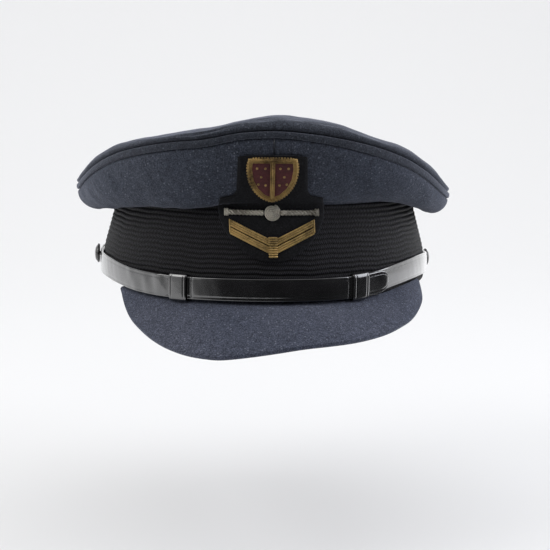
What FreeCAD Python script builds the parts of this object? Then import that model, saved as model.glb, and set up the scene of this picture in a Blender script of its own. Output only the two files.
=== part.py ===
import FreeCAD, Part
import math, os

# Military peaked cap, size 58 cm (7 1/8).  Millimetres.
# +Z up, the front of the cap (badge and peak) faces -Y, +X is the wearer's left.
# Origin: centre of the head opening, on the plane of the band's lower edge.
# Angles round the cap are degrees from the front, positive towards +X.

Vector = FreeCAD.Vector

# ---------------------------------------------------------------- driving dimensions
BAND_HALF_X = 90.3       # half width of the braid's outer face, lower part
BAND_HALF_Y = 101.0      # half length of the braid's outer face, lower part
LEAN_Z = 15.0            # height at which the band starts to lean inwards
LEAN_BLEND = 5.0         # the corner there is rounded this far up and down
LEAN_X = 0.272           # inward lean per mm of height at the sides
LEAN_Y = 0.160           # inward lean per mm of height at the front and back
BRAID_H = 47.6           # mohair braid width, 1 7/8 in
BRAID_T = 1.2
FOUNDATION_GAP = 0.2     # between the braid and the band foundation
FOUNDATION_T = 1.2
SWEATBAND_DEPTH = 6.6    # sweatband's inner face, inside the braid's outer face
SWEATBAND_T = 1.0
CLOTH_T = 1.4            # wool cloth
LINING_T = 0.5
CROWN_RIGHT = 104.4      # crown half width on -X
CROWN_LEFT = 102.8       # crown half width on +X
CROWN_FRONT = 114.0      # crown half length on -Y
CROWN_BACK = 116.0       # crown half length on +Y
CROWN_MID_Z = 73.0       # height of the middle of the crown top
FRONT_SEAM = -1.2        # angle of the crown's front seam
SEAM_GAP = 0.16          # degrees from a seam to the cloth on each side of it
WIRE_R = 1.1             # grommet wire radius
PEAK_HALF_X = 90.6       # half sizes of the oval that the peak's inner edge follows
PEAK_HALF_Y = 101.4
PEAK_ENDS = (-60.0, 63.0)
STRAP_W = 11.5           # chin strap width
STRAP_T = 1.1
STRAP_LOW = 0.5          # chin strap next to the band: distance off the braid
STRAP_HIGH = 1.95        # chin strap lying over the other one
BUTTON_R = 5.4
SHANK_R = 1.2            # side button shank radius
HOLE_R = 2.3             # button holes in the band
BUTTON_RIGHT = Vector(-90.3, 0.0, 10.7)  # where the button axis crosses the band on -X
BUTTON_LEFT = Vector(90.2, 5.0, 7.9)     # where it crosses the band on +X
# side sign along X, name, distance of the button's back from the band
SIDES = ((-1, "right", 2.8), (1, "left", 3.4))
BADGE_X = -1.2           # the badge sits a little to the wearer's right
BADGE_TILT = -0.030      # and leans that way, in mm per mm of height
BADGE_TILT_Z = 20.0      # height at which the lean is nil
SLOPE_STEP = 1e-3        # half step for taking the slope of a profile

# ---------------------------------------------------------------- tables round the cap
# (angle, value); the closed ones start at -180 and run on into themselves
# height of the lower crown seam
SEAM_Z = [
    (-180, 62), (-150, 60), (-120, 53), (-100, 48.6), (-90, 47.7), (-80, 49.3), (-70, 55),
    (-60, 62), (-50, 68), (-40, 72), (-30, 74.8), (-20, 76.9), (-10, 80.7), (0, 81.7),
    (10, 79.9), (20, 76.5), (30, 72.1), (40, 66.7), (50, 59.8), (60, 52.6), (70, 47.5),
    (80, 45.2), (90, 44.8), (105, 47), (120, 51), (150, 59.5)]
# height of the welt
WELT_H = [
    (-180, 3.2), (-90, 2.6), (-60, 3.0), (-30, 3.4), (0, 2.9), (30, 3.9), (50, 3.6),
    (75, 2.8), (120, 3.0)]
# rise of the crown top above its seam
TOP_RISE = [
    (-180, 6.0), (-90, 6.5), (-60, 7.2), (-45, 6.2), (-30, 5.6), (-20, 6.0), (-8, 6.4),
    (0, 7.2), (10, 7.6), (30, 6.8), (50, 8.0), (70, 7.5), (90, 6.5), (130, 6.0)]
# side panel curve, lower and upper control points: height, then share of the way
# from band to crown edge
LOWER_Z = [
    (-180, 49), (-150, 44), (-120, 35), (-90, 29), (-65, 32), (-50, 36), (-38, 36),
    (-25, 38), (-12, 50), (0, 56), (15, 54), (30, 48), (45, 44), (60, 38), (75, 31),
    (90, 28), (120, 35), (150, 44)]
UPPER_Z = [
    (-180, 56), (-150, 52), (-120, 43), (-90, 37), (-65, 44), (-50, 50), (-38, 56),
    (-25, 62), (-12, 68), (0, 71), (15, 68), (30, 61), (45, 53), (60, 43), (75, 36.5),
    (90, 35), (120, 42), (150, 51)]
LOWER_REACH = [(-180, .38), (-90, .34), (-40, .40), (0, .42), (40, .40), (90, .34)]
UPPER_REACH = [(-180, .92), (-90, 1.03), (-45, .97), (0, .92), (45, .97), (90, 1.03)]
# open: length of the peak's surface outward from the band
PEAK_LENGTH = [
    (-60, 1.22), (-57, 3.67), (-51, 9.65), (-45, 15.6), (-39, 20.85), (-33, 26.3),
    (-27, 31.3), (-21, 35.3), (-15, 37.6), (-12, 37.8), (-6, 36.3), (0, 34.5), (6, 32.5),
    (12, 31.2), (18, 29.7), (24, 27.6), (30, 25.3), (36, 22.5), (42, 19.8), (48, 16.2),
    (54, 12.2), (57, 9.4), (60, 5.9), (63, 2)]
# open: height of the peak's inner edge
PEAK_Z = [
    (-61, 0.0), (-50, -0.9), (-35, -1.3), (0, -1.0), (22, -0.9), (38, 1.0), (50, 3.0),
    (58, 3.8), (66, 4.1)]
# open: height of the chin strap's centre line
STRAP_Z = [
    (-110, 9.2), (-95, 8.9), (-80, 8.1), (-67, 7.6), (-60, 6.9), (-51, 5.9), (-42, 5.3),
    (-30, 5.2), (-14, 5.7), (0, 5.9), (22, 5.95), (28, 6.2), (36, 7.5), (44, 9.2),
    (50, 10.1), (57, 10.7), (66, 10.6), (78, 9.0), (92, 7.2), (110, 6.8)]


# ---------------------------------------------------------------- interpolation
def hermite(start, end, start_slope, end_slope, x):
    width = end[0] - start[0]
    t = (x - start[0]) / width
    t2 = t * t
    t3 = t2 * t
    return ((2*t3 - 3*t2 + 1) * start[1] + (t3 - 2*t2 + t) * width * start_slope
            + (-2*t3 + 3*t2) * end[1] + (t3 - t2) * width * end_slope)


def interpolate(points, x, slope):
    """smooth curve through all but the first and last points, which only set slopes"""
    for before, start, end, after in zip(points, points[1:], points[2:], points[3:]):
        if x <= end[0]:
            return hermite(start, end, slope(before, start, end), slope(start, end, after), x)


def weighted_slope(before, point, after):
    left, right = point[0] - before[0], after[0] - point[0]
    return ((after[1] - point[1]) / right * left
            + (point[1] - before[1]) / left * right) / (left + right)


def chord_slope(before, point, after):
    return (after[1] - before[1]) / (after[0] - before[0])


def closed_value(table, angle):
    """value of a closed table"""
    angle = (angle + 180.0) % 360.0 - 180.0
    points = ([(table[-1][0] - 360.0, table[-1][1])] + table
              + [(a + 360.0, value) for a, value in table[:2]])
    return interpolate(points, angle, weighted_slope)


def open_value(table, angle):
    """value of an open table, constant beyond its ends"""
    def beyond(end, inner):
        return 2 * end[0] - inner[0], 2 * end[1] - inner[1]

    angle = max(table[0][0], min(table[-1][0], angle))
    points = [beyond(table[0], table[1])] + table + [beyond(table[-1], table[-2])]
    return interpolate(points, angle, chord_slope)


def eased_value(table, angle):
    """value of an open table, level at every point and beyond its ends"""
    if angle <= table[0][0]:
        return table[0][1]
    for start, end in zip(table, table[1:]):
        if angle <= end[0]:
            return hermite(start, end, 0.0, 0.0, angle)
    return table[-1][1]


def bezier(points, t):
    m = 1 - t
    return tuple(m*m*m*a + 3*m*m*t*b + 3*m*t*t*c + t*t*t*d for a, b, c, d in zip(*points))


def spread(start, end, count):
    return [start + (end - start) * i / (count - 1) for i in range(count)]


# ---------------------------------------------------------------- surfaces of the cap
def oval(half_x, half_y, angle):
    turn = math.radians(angle)
    return half_x * math.sin(turn), -half_y * math.cos(turn)


def oval_normal(half_x, half_y, x, y):
    normal_x, normal_y = x / half_x ** 2, y / half_y ** 2
    length = math.hypot(normal_x, normal_y)
    return normal_x / length, normal_y / length


def band_half(z):
    """half width and half length of the band at a height"""
    above = z - LEAN_Z
    if above <= -LEAN_BLEND:
        above = 0.0
    elif above < LEAN_BLEND:
        above = (above + LEAN_BLEND) ** 2 / (4 * LEAN_BLEND)
    return BAND_HALF_X - LEAN_X * above, BAND_HALF_Y - LEAN_Y * above


def band_point(angle, z, out=0.0):
    """a point on the band wall, out mm outside the braid's outer face"""
    half = band_half(z)
    x, y = oval(*half, angle)
    normal_x, normal_y = oval_normal(*half, x, y)
    return x + out * normal_x, y + out * normal_y, z


def crown_oval(angle, inset=0.0):
    """the crown's outline in plan"""
    side, front = oval(1.0, -1.0, angle)
    half_x = 0.5 * (CROWN_RIGHT + CROWN_LEFT) + 0.5 * (CROWN_LEFT - CROWN_RIGHT) * side
    half_y = 0.5 * (CROWN_FRONT + CROWN_BACK) + 0.5 * (CROWN_FRONT - CROWN_BACK) * front
    return oval(half_x - inset, half_y - inset, angle)


def panel_point(angle, share, depth=0.0):
    """side panels: share 0 at the band, 1 at the lower seam; depth goes into the crown"""
    return on_panel(panel_curve(angle), share, depth)


def panel_curve(angle):
    """start on the band, plan vector to the crown edge, and the (reach, z) controls"""
    base_x, base_y, base_z = band_point(angle, BRAID_H + 0.5)
    edge_x, edge_y = crown_oval(angle)
    controls = ((0, base_z),
                (closed_value(LOWER_REACH, angle), closed_value(LOWER_Z, angle)),
                (closed_value(UPPER_REACH, angle), closed_value(UPPER_Z, angle)),
                (1, closed_value(SEAM_Z, angle)))
    return (base_x, base_y), (edge_x - base_x, edge_y - base_y), controls


def on_panel(curve, share, depth=0.0):
    base, out, controls = curve
    reach, z = bezier(controls, share)
    if depth:
        before = bezier(controls, max(0, share - SLOPE_STEP))
        after = bezier(controls, min(1, share + SLOPE_STEP))
        span = math.hypot(*out)
        run = (after[0] - before[0]) * span
        climb = after[1] - before[1]
        length = math.hypot(run, climb)
        reach -= depth * climb / length / span
        z += depth * run / length
    return base[0] + reach * out[0], base[1] + reach * out[1], z


def top_profile(angle, share):
    """crown top: inset from the outline, scale about the middle, height"""
    seam_z = closed_value(SEAM_Z, angle) + closed_value(WELT_H, angle)
    rise = closed_value(TOP_RISE, angle)
    roll_share, roll_inset, tuck = 0.28, 12, 0.3
    if share < roll_share:
        controls = ((0, 0), (-0.6, rise * 0.60), (4.2, rise), (roll_inset, rise))
        inset, height = bezier(controls, share / roll_share)
        return inset - tuck, 1.0, seam_z + height
    t = (share - roll_share) / (1 - roll_share)
    blend = t * t * (3 - 2 * t)
    sag = -1.5 * math.sin(math.pi * min(1, t * 1.3)) * (1 - t)
    z = (seam_z + rise) * (1 - blend) + CROWN_MID_Z * blend + sag
    return roll_inset - tuck, 1 - t, z


def top_point(angle, share, depth=0.0):
    """crown top: share 0 at the upper seam, 1 in the middle; depth goes into the crown"""
    inset, scale, z = top_profile(angle, share)
    x, y = crown_oval(angle, inset)
    x *= scale
    y *= scale
    radius = math.hypot(x, y)
    # near the middle the offset turns straight down
    flat_r, blend_r = 8, 20.0
    if not depth or radius <= flat_r:
        return x, y, z - depth
    before = top_profile(angle, max(0, share - SLOPE_STEP))
    after = top_profile(angle, min(1, share + SLOPE_STEP))
    run = (math.hypot(*crown_oval(angle, after[0])) * after[1]
           - math.hypot(*crown_oval(angle, before[0])) * before[1])
    climb = after[2] - before[2]
    outward = -climb / math.hypot(run, climb) * min(1.0, (radius - flat_r) / blend_r)
    down = math.sqrt(max(0.0, 1 - outward ** 2)) * (1 if run <= 0 else -1)
    return x + depth * outward * x / radius, y + depth * outward * y / radius, z - depth * down


# ---------------------------------------------------------------- solid builders
def surface(grid):
    result = Part.BSplineSurface()
    result.interpolate([[Vector(*point) for point in row] for row in grid])
    return result


def skin(first_grid, second_grid):
    """closed solid between two grids of points with the same layout"""
    one, two = surface(first_grid), surface(second_grid)
    faces = [one.toShape(), two.toShape()]
    one_ends, two_ends = one.bounds(), two.bounds()
    edges = [(one.uIso(one_ends[i]), two.uIso(two_ends[i])) for i in (0, 1)]
    edges += [(one.vIso(one_ends[i]), two.vIso(two_ends[i])) for i in (2, 3)]
    for first, second in edges:
        faces.append(Part.makeRuledSurface(first.toShape(), second.toShape(), 1))
    compound = Part.Compound(faces)
    compound.sewShape()
    shells = compound.Shells
    if len(shells) != 1 or not shells[0].isClosed():
        raise RuntimeError("open skin: %d shells" % len(shells))
    solid = Part.makeSolid(shells[0])
    if solid.Volume < 0:
        solid.reverse()
    return solid


def sheet(point, us, vs, first_offset, second_offset):
    """solid between two offsets of the surface point(u, v, offset)"""
    return skin(*[[[point(u, v, offset) for v in vs] for u in us]
                  for offset in (first_offset, second_offset)])


def round_grid(point, offset, count, edge):
    """square grid of points bent to fill the oval of point(angle, share, offset)"""
    stations = [math.sin(math.pi / 2 * step) for step in spread(-1.0, 1.0, count)]
    grid = []
    for u in stations:
        row = []
        for v in stations:
            side = u * math.sqrt(1 - v * v / 2)
            back = v * math.sqrt(1 - u * u / 2)
            radius = min(1.0, math.hypot(side, back))
            angle = math.degrees(math.atan2(side, -back))
            row.append(point(angle, edge + (1 - edge) * (1 - radius), offset))
        grid.append(row)
    return grid


def round_sheet(point, thickness, count, edge=0.0):
    return skin(round_grid(point, 0.0, count, edge), round_grid(point, thickness, count, edge))


def tube(points, radius):
    """round wire along an open path"""
    curve = Part.BSplineCurve()
    curve.interpolate([Vector(*point) for point in points])
    tangent = curve.tangent(curve.FirstParameter)[0]
    section = Part.Wire([Part.makeCircle(radius, Vector(*points[0]), tangent)])
    return Part.Wire([curve.toShape()]).makePipeShell([section], True, True)


def band_ring(heights, outer_offset, inner_offset):
    """closed oval band with flat top and bottom faces"""
    def loft(offset):
        wires = []
        for z in heights:
            half_x, half_y = (half + offset for half in band_half(z))
            ellipse = Part.Ellipse(Vector(0, half_y, z), Vector(half_x, 0, z), Vector(0, 0, z))
            wires.append(Part.Wire([ellipse.toShape()]))
        return Part.makeLoft(wires, True, True)

    return loft(outer_offset).cut(loft(inner_offset))


def polygon_face(points):
    return Part.Face(Part.Wire(Part.makePolygon(points + [points[0]])))


# ---------------------------------------------------------------- button axis
AXIS = (BUTTON_LEFT - BUTTON_RIGHT).normalize()


def axis_point(side, out):
    """a point on the button axis, out mm outwards from the band's face"""
    return (BUTTON_RIGHT if side < 0 else BUTTON_LEFT) + AXIS * (side * out)


def axis_cylinder(side, start, radius, length):
    return Part.makeCylinder(radius, length, axis_point(side, start), AXIS * side)


def lathe(side, profile):
    """solid of revolution about the button axis; profile is (distance out, radius)"""
    face = polygon_face([Vector(out, radius, 0) for out, radius in profile])
    solid = face.revolve(Vector(0, 0, 0), Vector(1, 0, 0), 360)
    turn = FreeCAD.Rotation(Vector(1, 0, 0), AXIS * side)
    solid.Placement = FreeCAD.Placement(axis_point(side, 0), turn)
    return solid


# ---------------------------------------------------------------- crown
def crown_quarter(start, end, stations):
    return sheet(panel_point, spread(start, end, stations), spread(0.02, 0.99, 9), 0.0, CLOTH_T)


def crown_welt():
    def point(angle, share, depth):
        x, y = crown_oval(angle, depth - 0.7)
        z = closed_value(SEAM_Z, angle) + 0.25 + share * (closed_value(WELT_H, angle) - 0.5)
        return x, y, z

    return sheet(point, spread(-179.85, 179.85, 49), spread(0, 1, 4), 0.0, 2.0)


def lining_top_point(angle, share, depth):
    x, y, z = top_point(angle, 0.30 + 0.70 * share)
    return x * 0.95, y * 0.95, z - 5.0 - depth


def lining_side():
    def point(angle, share, depth):
        return panel_point(angle, 0.06 + 0.80 * share, 2.9 + 3.0 * share + depth)

    return sheet(point, spread(-179.8, 179.8, 49), spread(0, 1, 8), 0.0, LINING_T)


def sweat_shield():
    """thin diamond, longest front to back, just under the lining"""
    def point(u, v, depth):
        x, y = 56.0 * 0.5 * (u + v), 74.0 * 0.5 * (u - v)
        side, back = x / 88.0, y / 99.0
        angle = math.degrees(math.atan2(side, -back))
        lining_z = lining_top_point(angle, 1 - math.hypot(side, back), 0.0)[2]
        return x, y, lining_z - 2.2 - depth

    return sheet(point, spread(-1, 1, 13), spread(-1, 1, 13), 0.0, 0.25)


def wire_point(angle):
    x, y = crown_oval(angle, 4.0)
    return x, y, closed_value(SEAM_Z, angle) + 0.5 * closed_value(WELT_H, angle) + 0.3


def grommet_wire():
    return tube([wire_point(angle) for angle in spread(-178.6, 178.6, 73)], WIRE_R)


def grommet_ferrule():
    """straight sleeve over the wire's ends, at the back"""
    length = 16.0
    start = Vector(*wire_point(180.0)) - Vector(length / 2, 0, 0)
    sleeve = Part.makeCylinder(WIRE_R + 0.75, length, start, Vector(1, 0, 0))
    bore = tube([wire_point(angle) for angle in spread(172.0, 188.0, 9)], WIRE_R + 0.08)
    return sleeve.cut(bore)


def front_stay():
    return sheet(panel_point, spread(-5.5, 5.5, 7), spread(0.10, 0.86, 7), 1.75, 2.35)


# ---------------------------------------------------------------- band
def punched(shape):
    """the shape with both button holes through it"""
    for side in (-1, 1):
        shape = shape.cut(axis_cylinder(side, -12.0, HOLE_R, 20.0))
    return shape


def band_foundation():
    face = -BRAID_T - FOUNDATION_GAP
    return punched(band_ring([0.0, 10.0, 15.0, 20.0, 46.6], face, face - FOUNDATION_T))


def mohair_braid():
    angles = spread(-179.85, 179.85, 49)
    return punched(sheet(band_point, angles, spread(0.6, 47.3, 14), 0.0, -BRAID_T))


def sweatband():
    return sheet(band_point, spread(-179.6, 179.6, 41), spread(2.6, 36.0, 10),
                 SWEATBAND_T - SWEATBAND_DEPTH, -SWEATBAND_DEPTH)


def forehead_pad():
    return sheet(band_point, spread(-40, 40, 11), spread(7, 33, 8), -3.1, -5.2)


def sweatband_reed():
    return tube([band_point(angle, 1.25, -6.0) for angle in spread(-179.3, 179.3, 61)], 0.9)


def sweatband_bow():
    """two loops and a knot, at the back of the sweatband"""
    # (x from the loop's root, z from the knot's middle)
    loop = [(0, 0), (4, 2.6), (9, 3.4), (11.5, 1.2), (11.5, -1.6), (9, -3.2), (4, -2.4)]
    root_x, middle_z, ribbon = 1.2, 20.0, 0.9
    bow_y = BAND_HALF_Y - SWEATBAND_DEPTH - 2.3
    loops = []
    for side in (-1, 1):
        curve = Part.BSplineCurve()
        points = [Vector(side * (root_x + x), bow_y, middle_z + z) for x, z in loop]
        curve.interpolate(points, PeriodicFlag=True)
        face = Part.Face(Part.Wire([curve.toShape()]))
        loops.append(face.extrude(Vector(0, -ribbon, 0)))
    width, depth, height = 3.4, 1.8, 3.6
    corner = Vector(-width / 2, bow_y - (ribbon + depth) / 2, middle_z - height / 2)
    knot = Part.makeBox(width, depth, height, corner)
    knot = knot.makeFillet(0.6, knot.Edges)
    return loops[0].fuse(loops[1]).fuse(knot)


# ---------------------------------------------------------------- peak
# piece: depth of its top and bottom faces, outer edge set back, degrees off each end
PEAK_LAYERS = {
    "peak_cloth": (0.25, 1.15, 0.0, 1.0),
    "peak_board": (1.3, 2.1, 0.9, 3.5),
    "peak_underside": (2.25, 2.85, 0.2, 3.5),
}


def peak_slope(angle):
    """downward slope in degrees"""
    k = abs(angle) / 65.0
    return 29 + 24 * k * k - 3.5 * math.tanh(angle / 14.0) * (1 - min(1, k) ** 2)


def peak_point(angle, share, depth, setback):
    """peak: share 0 at the band, 1 at the outer edge; depth goes down through it"""
    x, y = oval(PEAK_HALF_X, PEAK_HALF_Y, angle)
    normal_x, normal_y = oval_normal(PEAK_HALF_X, PEAK_HALF_Y, x, y)
    slope = math.radians(peak_slope(angle))
    length = max(0.6, open_value(PEAK_LENGTH, angle) - setback)
    start = depth * math.tan(slope)
    along = start + (length - start) * share
    k = along / length
    above = 0.055 * length * 4 * k * (1 - k) - depth
    out = along * math.cos(slope) + above * math.sin(slope)
    z = -along * math.sin(slope) + above * math.cos(slope)
    return x + normal_x * out, y + normal_y * out, z + open_value(PEAK_Z, angle)


def peak_layer(top, bottom, setback, trim):
    def point(angle, share, depth):
        return peak_point(angle, share, depth, setback)

    angles = spread(PEAK_ENDS[0] + trim, PEAK_ENDS[1] - trim, 29)
    return sheet(point, angles, spread(0.0, 1.0, 8), top, bottom)


# ---------------------------------------------------------------- chin strap
def strap(side, ends, insets, width, lifts):
    """strap with rounded ends, holed for the shank on its button side

    ends are angles, insets the degrees lost at the corners of each end, lifts a table
    of (angle, distance off the braid)."""
    def point(u, v, out):
        corner = (1 - math.sqrt(1 - (0.94 * v) ** 2)) / (1 - math.sqrt(1 - 0.94 ** 2))
        start = ends[0] + insets[0] * corner
        end = ends[1] - insets[1] * corner
        angle = start + (end - start) * u
        z = open_value(STRAP_Z, angle) + v * width / 2
        return band_point(angle, z, eased_value(lifts, angle) + out)

    # stations packed towards both ends
    us = [0.5 - 0.5 * math.cos(turn) for turn in spread(0.0, math.pi, 33)]
    body = sheet(point, us, spread(-1, 1, 9), STRAP_T, 0.0)
    return body.cut(axis_cylinder(side, -2.0, SHANK_R + 0.1, 12.0))


def chinstrap_outer():
    """from the -X button round the front to a tip towards +X"""
    return strap(-1, (-97.0, 39.0), (2.2, 3.6), STRAP_W,
                 [(-84, 0.75), (-66, 0.7), (-44, STRAP_HIGH)])


def chinstrap_inner():
    """from a tip towards -X round the front to the +X button"""
    return strap(1, (-42.0, 99.5), (3.4, 2.2), STRAP_W * 0.98, [(60, STRAP_LOW), (84, 0.8)])


def keeper(start, end):
    """flat loop round both straps"""
    def block(margin, overrun, outer, inner):
        def point(angle, v, out):
            z = open_value(STRAP_Z, angle) + v * (STRAP_W / 2 + margin)
            return band_point(angle, z, out)

        angles = spread(start - overrun, end + overrun, 5)
        return sheet(point, angles, spread(-1, 1, 5), outer, inner)

    straps_top = STRAP_HIGH + STRAP_T
    body = block(0.75, 0.0, straps_top + 0.95, 0.27)
    return body.cut(block(0.15, 1.5, straps_top + 0.12, STRAP_LOW - 0.10))


# ---------------------------------------------------------------- side buttons
PIN_OUT = -3.95          # the split pin's place on the button axis, inside the band


def button_back(side, stand):
    bore = SHANK_R + 0.02
    return lathe(side, [(stand, bore), (stand, BUTTON_R - 1.0),
                        (stand + 0.7, BUTTON_R - 0.75), (stand + 0.7, bore)])


def button_face(side, stand):
    """dome, crimped over the flat back"""
    # (distance out from the button's back, radius)
    profile = [
        (-0.25, BUTTON_R - 0.85), (-0.25, BUTTON_R - 0.2), (0.3, BUTTON_R), (0.95, BUTTON_R),
        (1.6, BUTTON_R * 0.86), (2.2, BUTTON_R * 0.62), (2.55, BUTTON_R * 0.32), (2.65, 0.0),
        (2.05, 0.0), (1.95, BUTTON_R * 0.32), (1.65, BUTTON_R * 0.58),
        (0.85, BUTTON_R - 0.62), (-0.1, BUTTON_R - 0.72)]
    return lathe(side, [(stand + out, radius) for out, radius in profile])


def button_shank(side, stand):
    """shank with an upright hole for the pin"""
    inner, outer = -5.0, stand + 1.2
    shank = lathe(side, [(inner, 0.0), (inner, SHANK_R), (outer, SHANK_R), (outer, 0.0)])
    hole_start = axis_point(side, PIN_OUT) - Vector(0, 0, 4)
    return shank.cut(Part.makeCylinder(0.62, 8.0, hole_start))


def split_pin(side):
    """upright pin with a ring eye on top"""
    centre = axis_point(side, PIN_OUT)
    wire_r = 0.5
    pin = Part.makeCylinder(wire_r, 8.4, centre - Vector(0, 0, 4.2))
    eye = Part.makeTorus(1.3, wire_r, centre + Vector(0, 0, 5.2), Vector(1, 0, 0))
    return pin.fuse(eye)


def eyelet(side):
    """barrel through the band with a flange at each end"""
    bore, barrel, flange = SHANK_R + 0.08, HOLE_R - 0.1, 3.1
    return lathe(side, [(-3.1, bore), (-3.1, flange), (-2.85, flange), (-2.85, barrel),
                        (0.2, barrel), (0.2, flange), (0.42, flange), (0.42, bore)])


# ---------------------------------------------------------------- badge
# outlines as (x from the badge's centre line, z); the first two are right halves,
# seen from the front, running from the centre line at the top to that at the bottom
PATCH = [
    (0, 73.2), (10.0, 73.2), (16.8, 72.4), (17.6, 55.0), (19.5, 52.6), (25.6, 51.4),
    (26.4, 47.0), (26.0, 41.0), (23.5, 34.5), (18.0, 27.5), (10.5, 22.0), (5.0, 20.0),
    (0, 19.6)]
SHIELD = [
    (0, 71.6), (12.0, 71.6), (12.5, 66.0), (11.6, 60.0), (9.0, 55.0), (5.0, 51.2), (0, 49.0)]
TIE = [(0, 32.4), (2.2, 32.2), (2.2, 22.0), (0, 21.8)]
# one of the two velvet fields in the shield, and one arm of the chevron
FIELD = [
    (1.1, 69.6), (10.1, 69.6), (10.5, 66.0), (9.7, 60.8), (7.6, 56.5), (4.2, 53.2),
    (1.1, 51.8)]
CHEVRON = [(2.4, 24.17), (21.5, 33.5), (21.5, 41.0), (2.4, 31.67)]
BAR_XS = [4.7, 8, 12, 16, 20, 23.2]
BAR_HALF_H = 1.7
BAR_Z = 44.0             # middle of the rope bar and the rosette
ROSETTE_R = 4.4
FIELD_GAP = 0.15         # round the velvet in the shield
DEVICE_BACK = 1.90       # the raised devices start this far off the cap's face


def front_distance(x, z):
    """how far towards -Y the cap's face is at a point of its front"""
    half_x, half_y = band_half(z)
    band = half_y * math.sqrt(max(0.0, 1 - (x / half_x) ** 2))
    angle = math.degrees(math.asin(max(-1.0, min(1.0, x / 97.0))))
    # find the angle and share at which the side panel passes through (x, z)
    for _ in range(4):
        curve = panel_curve(angle)
        low, high = 0.0, 1.0
        for _ in range(24):
            middle = 0.5 * (low + high)
            if on_panel(curve, middle)[2] < z:
                low = middle
            else:
                high = middle
        panel_x, panel_y, panel_z = on_panel(curve, low)
        angle += math.degrees((x - panel_x) / 100.0)
    panel = -panel_y - 0.6 * max(0.0, panel_z - z)
    # the further forward of the two, with a rounded change from one to the other
    return 0.5 * (band + panel + math.sqrt((band - panel) ** 2 + 1.0))


def badge_layer(back, front):
    """a layer on the cap's front, between two distances from its face"""
    def point(x, z, out):
        return x, -(front_distance(x, z) + out), z

    return sheet(point, spread(-31, 28, 14), spread(14, 78, 25), front, back)


def prism(outline):
    """the outline, placed and tilted as the badge is, run through the cap's front"""
    back_y, front_y = -80.0, -125.0
    face = polygon_face([
        Vector(x + BADGE_X + BADGE_TILT * (z - BADGE_TILT_Z), front_y, z) for x, z in outline])
    return face.extrude(Vector(0, back_y - front_y, 0))


def flipped(outline):
    return [(-x, z) for x, z in outline]


def whole(half):
    """closed outline from its half"""
    return half + flipped([point for point in reversed(half) if abs(point[0]) > 1e-6])


def prism_pair(outline):
    return prism(outline).fuse(prism(flipped(outline)))


def badge_shield(layer):
    """shield with two openings for the velvet"""
    shield = layer.common(prism(whole(SHIELD)))
    middle_x = sum(x for x, z in FIELD) / len(FIELD)
    middle_z = sum(z for x, z in FIELD) / len(FIELD)
    opening = [(x + math.copysign(FIELD_GAP, x - middle_x),
                z + math.copysign(FIELD_GAP, z - middle_z)) for x, z in FIELD]
    return shield.cut(prism(opening)).cut(prism(flipped(opening)))


def badge_pieces():
    high = badge_layer(DEVICE_BACK, 3.40)
    low = badge_layer(DEVICE_BACK, 2.70)
    backing = [(x * 0.93, 47 + (z - 47) * 0.94) for x, z in whole(PATCH)]
    bar = ([(x, BAR_Z - BAR_HALF_H) for x in BAR_XS]
           + [(x, BAR_Z + BAR_HALF_H) for x in reversed(BAR_XS)])
    turns = [math.pi * i / 12 for i in range(24)]
    rosette = [(ROSETTE_R * math.cos(a), BAR_Z + ROSETTE_R * math.sin(a)) for a in turns]
    return {
        "badge_backing": badge_layer(0.35, 0.70).common(prism(backing)),
        "badge_patch": badge_layer(0.85, 1.75).common(prism(whole(PATCH))),
        "badge_shield": badge_shield(high),
        "badge_velvet": low.common(prism_pair(FIELD)),
        "badge_rope_bar": low.common(prism_pair(bar)),
        "badge_rosette": high.common(prism(rosette)),
        "badge_chevron": badge_layer(DEVICE_BACK, 3.00).common(prism_pair(CHEVRON)),
        "badge_tie": high.common(prism(whole(TIE))),
    }


# ---------------------------------------------------------------- build and write
pieces = {
    "quarter_front_right": crown_quarter(-89.6, FRONT_SEAM - SEAM_GAP, 15),
    "quarter_front_left": crown_quarter(FRONT_SEAM + SEAM_GAP, 89.6, 15),
    "quarter_rear_left": crown_quarter(90.0, 180 - SEAM_GAP, 13),
    "quarter_rear_right": crown_quarter(SEAM_GAP - 180, -90.0, 13),
    "crown_welt": crown_welt(),
    "crown_top": round_sheet(top_point, CLOTH_T, 25, 0.005),
    "lining_top": round_sheet(lining_top_point, LINING_T, 15),
    "lining_side": lining_side(),
    "sweat_shield": sweat_shield(),
    "grommet_wire": grommet_wire(),
    "grommet_ferrule": grommet_ferrule(),
    "front_stay": front_stay(),
    "band_foundation": band_foundation(),
    "mohair_braid": mohair_braid(),
    "sweatband": sweatband(),
    "forehead_pad": forehead_pad(),
    "sweatband_reed": sweatband_reed(),
    "sweatband_bow": sweatband_bow(),
    "chinstrap_outer": chinstrap_outer(),
    "chinstrap_inner": chinstrap_inner(),
    # named as seen from the front: keeper_right is on +X
    "keeper_right": keeper(25.0, 30.6),
    "keeper_left": keeper(-33.9, -28.0),
}
for name, layer in PEAK_LAYERS.items():
    pieces[name] = peak_layer(*layer)
for side, name, stand in SIDES:
    pieces[name + "_button_back"] = button_back(side, stand)
    pieces[name + "_button_face"] = button_face(side, stand)
    pieces[name + "_button_shank"] = button_shank(side, stand)
    pieces[name + "_split_pin"] = split_pin(side)
    pieces[name + "_eyelet"] = eyelet(side)
pieces.update(badge_pieces())

os.makedirs("parts", exist_ok=True)
for name, shape in pieces.items():
    shape.exportStep("parts/%s.step" % name)
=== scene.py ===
"""A peaked cap: flat wide crown, ribbed braid band, peak, chin strap and bullion badge.

The cap stands on the XY plane with its middle on the Z axis. -Y is its front, +X the wearer's
left and +Z up. Shapes are worked out in mm and turned into metres when a mesh is made. A place
round the cap is an angle in degrees: 0 at the front, 90 at +X, -90 at -X, 180 at the back.
Grids of points run round the cap by rows, and up, inwards or round a section by columns.
"""
import math
import bmesh
import bpy
import numpy as np
from mathutils import Matrix, Vector


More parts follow.
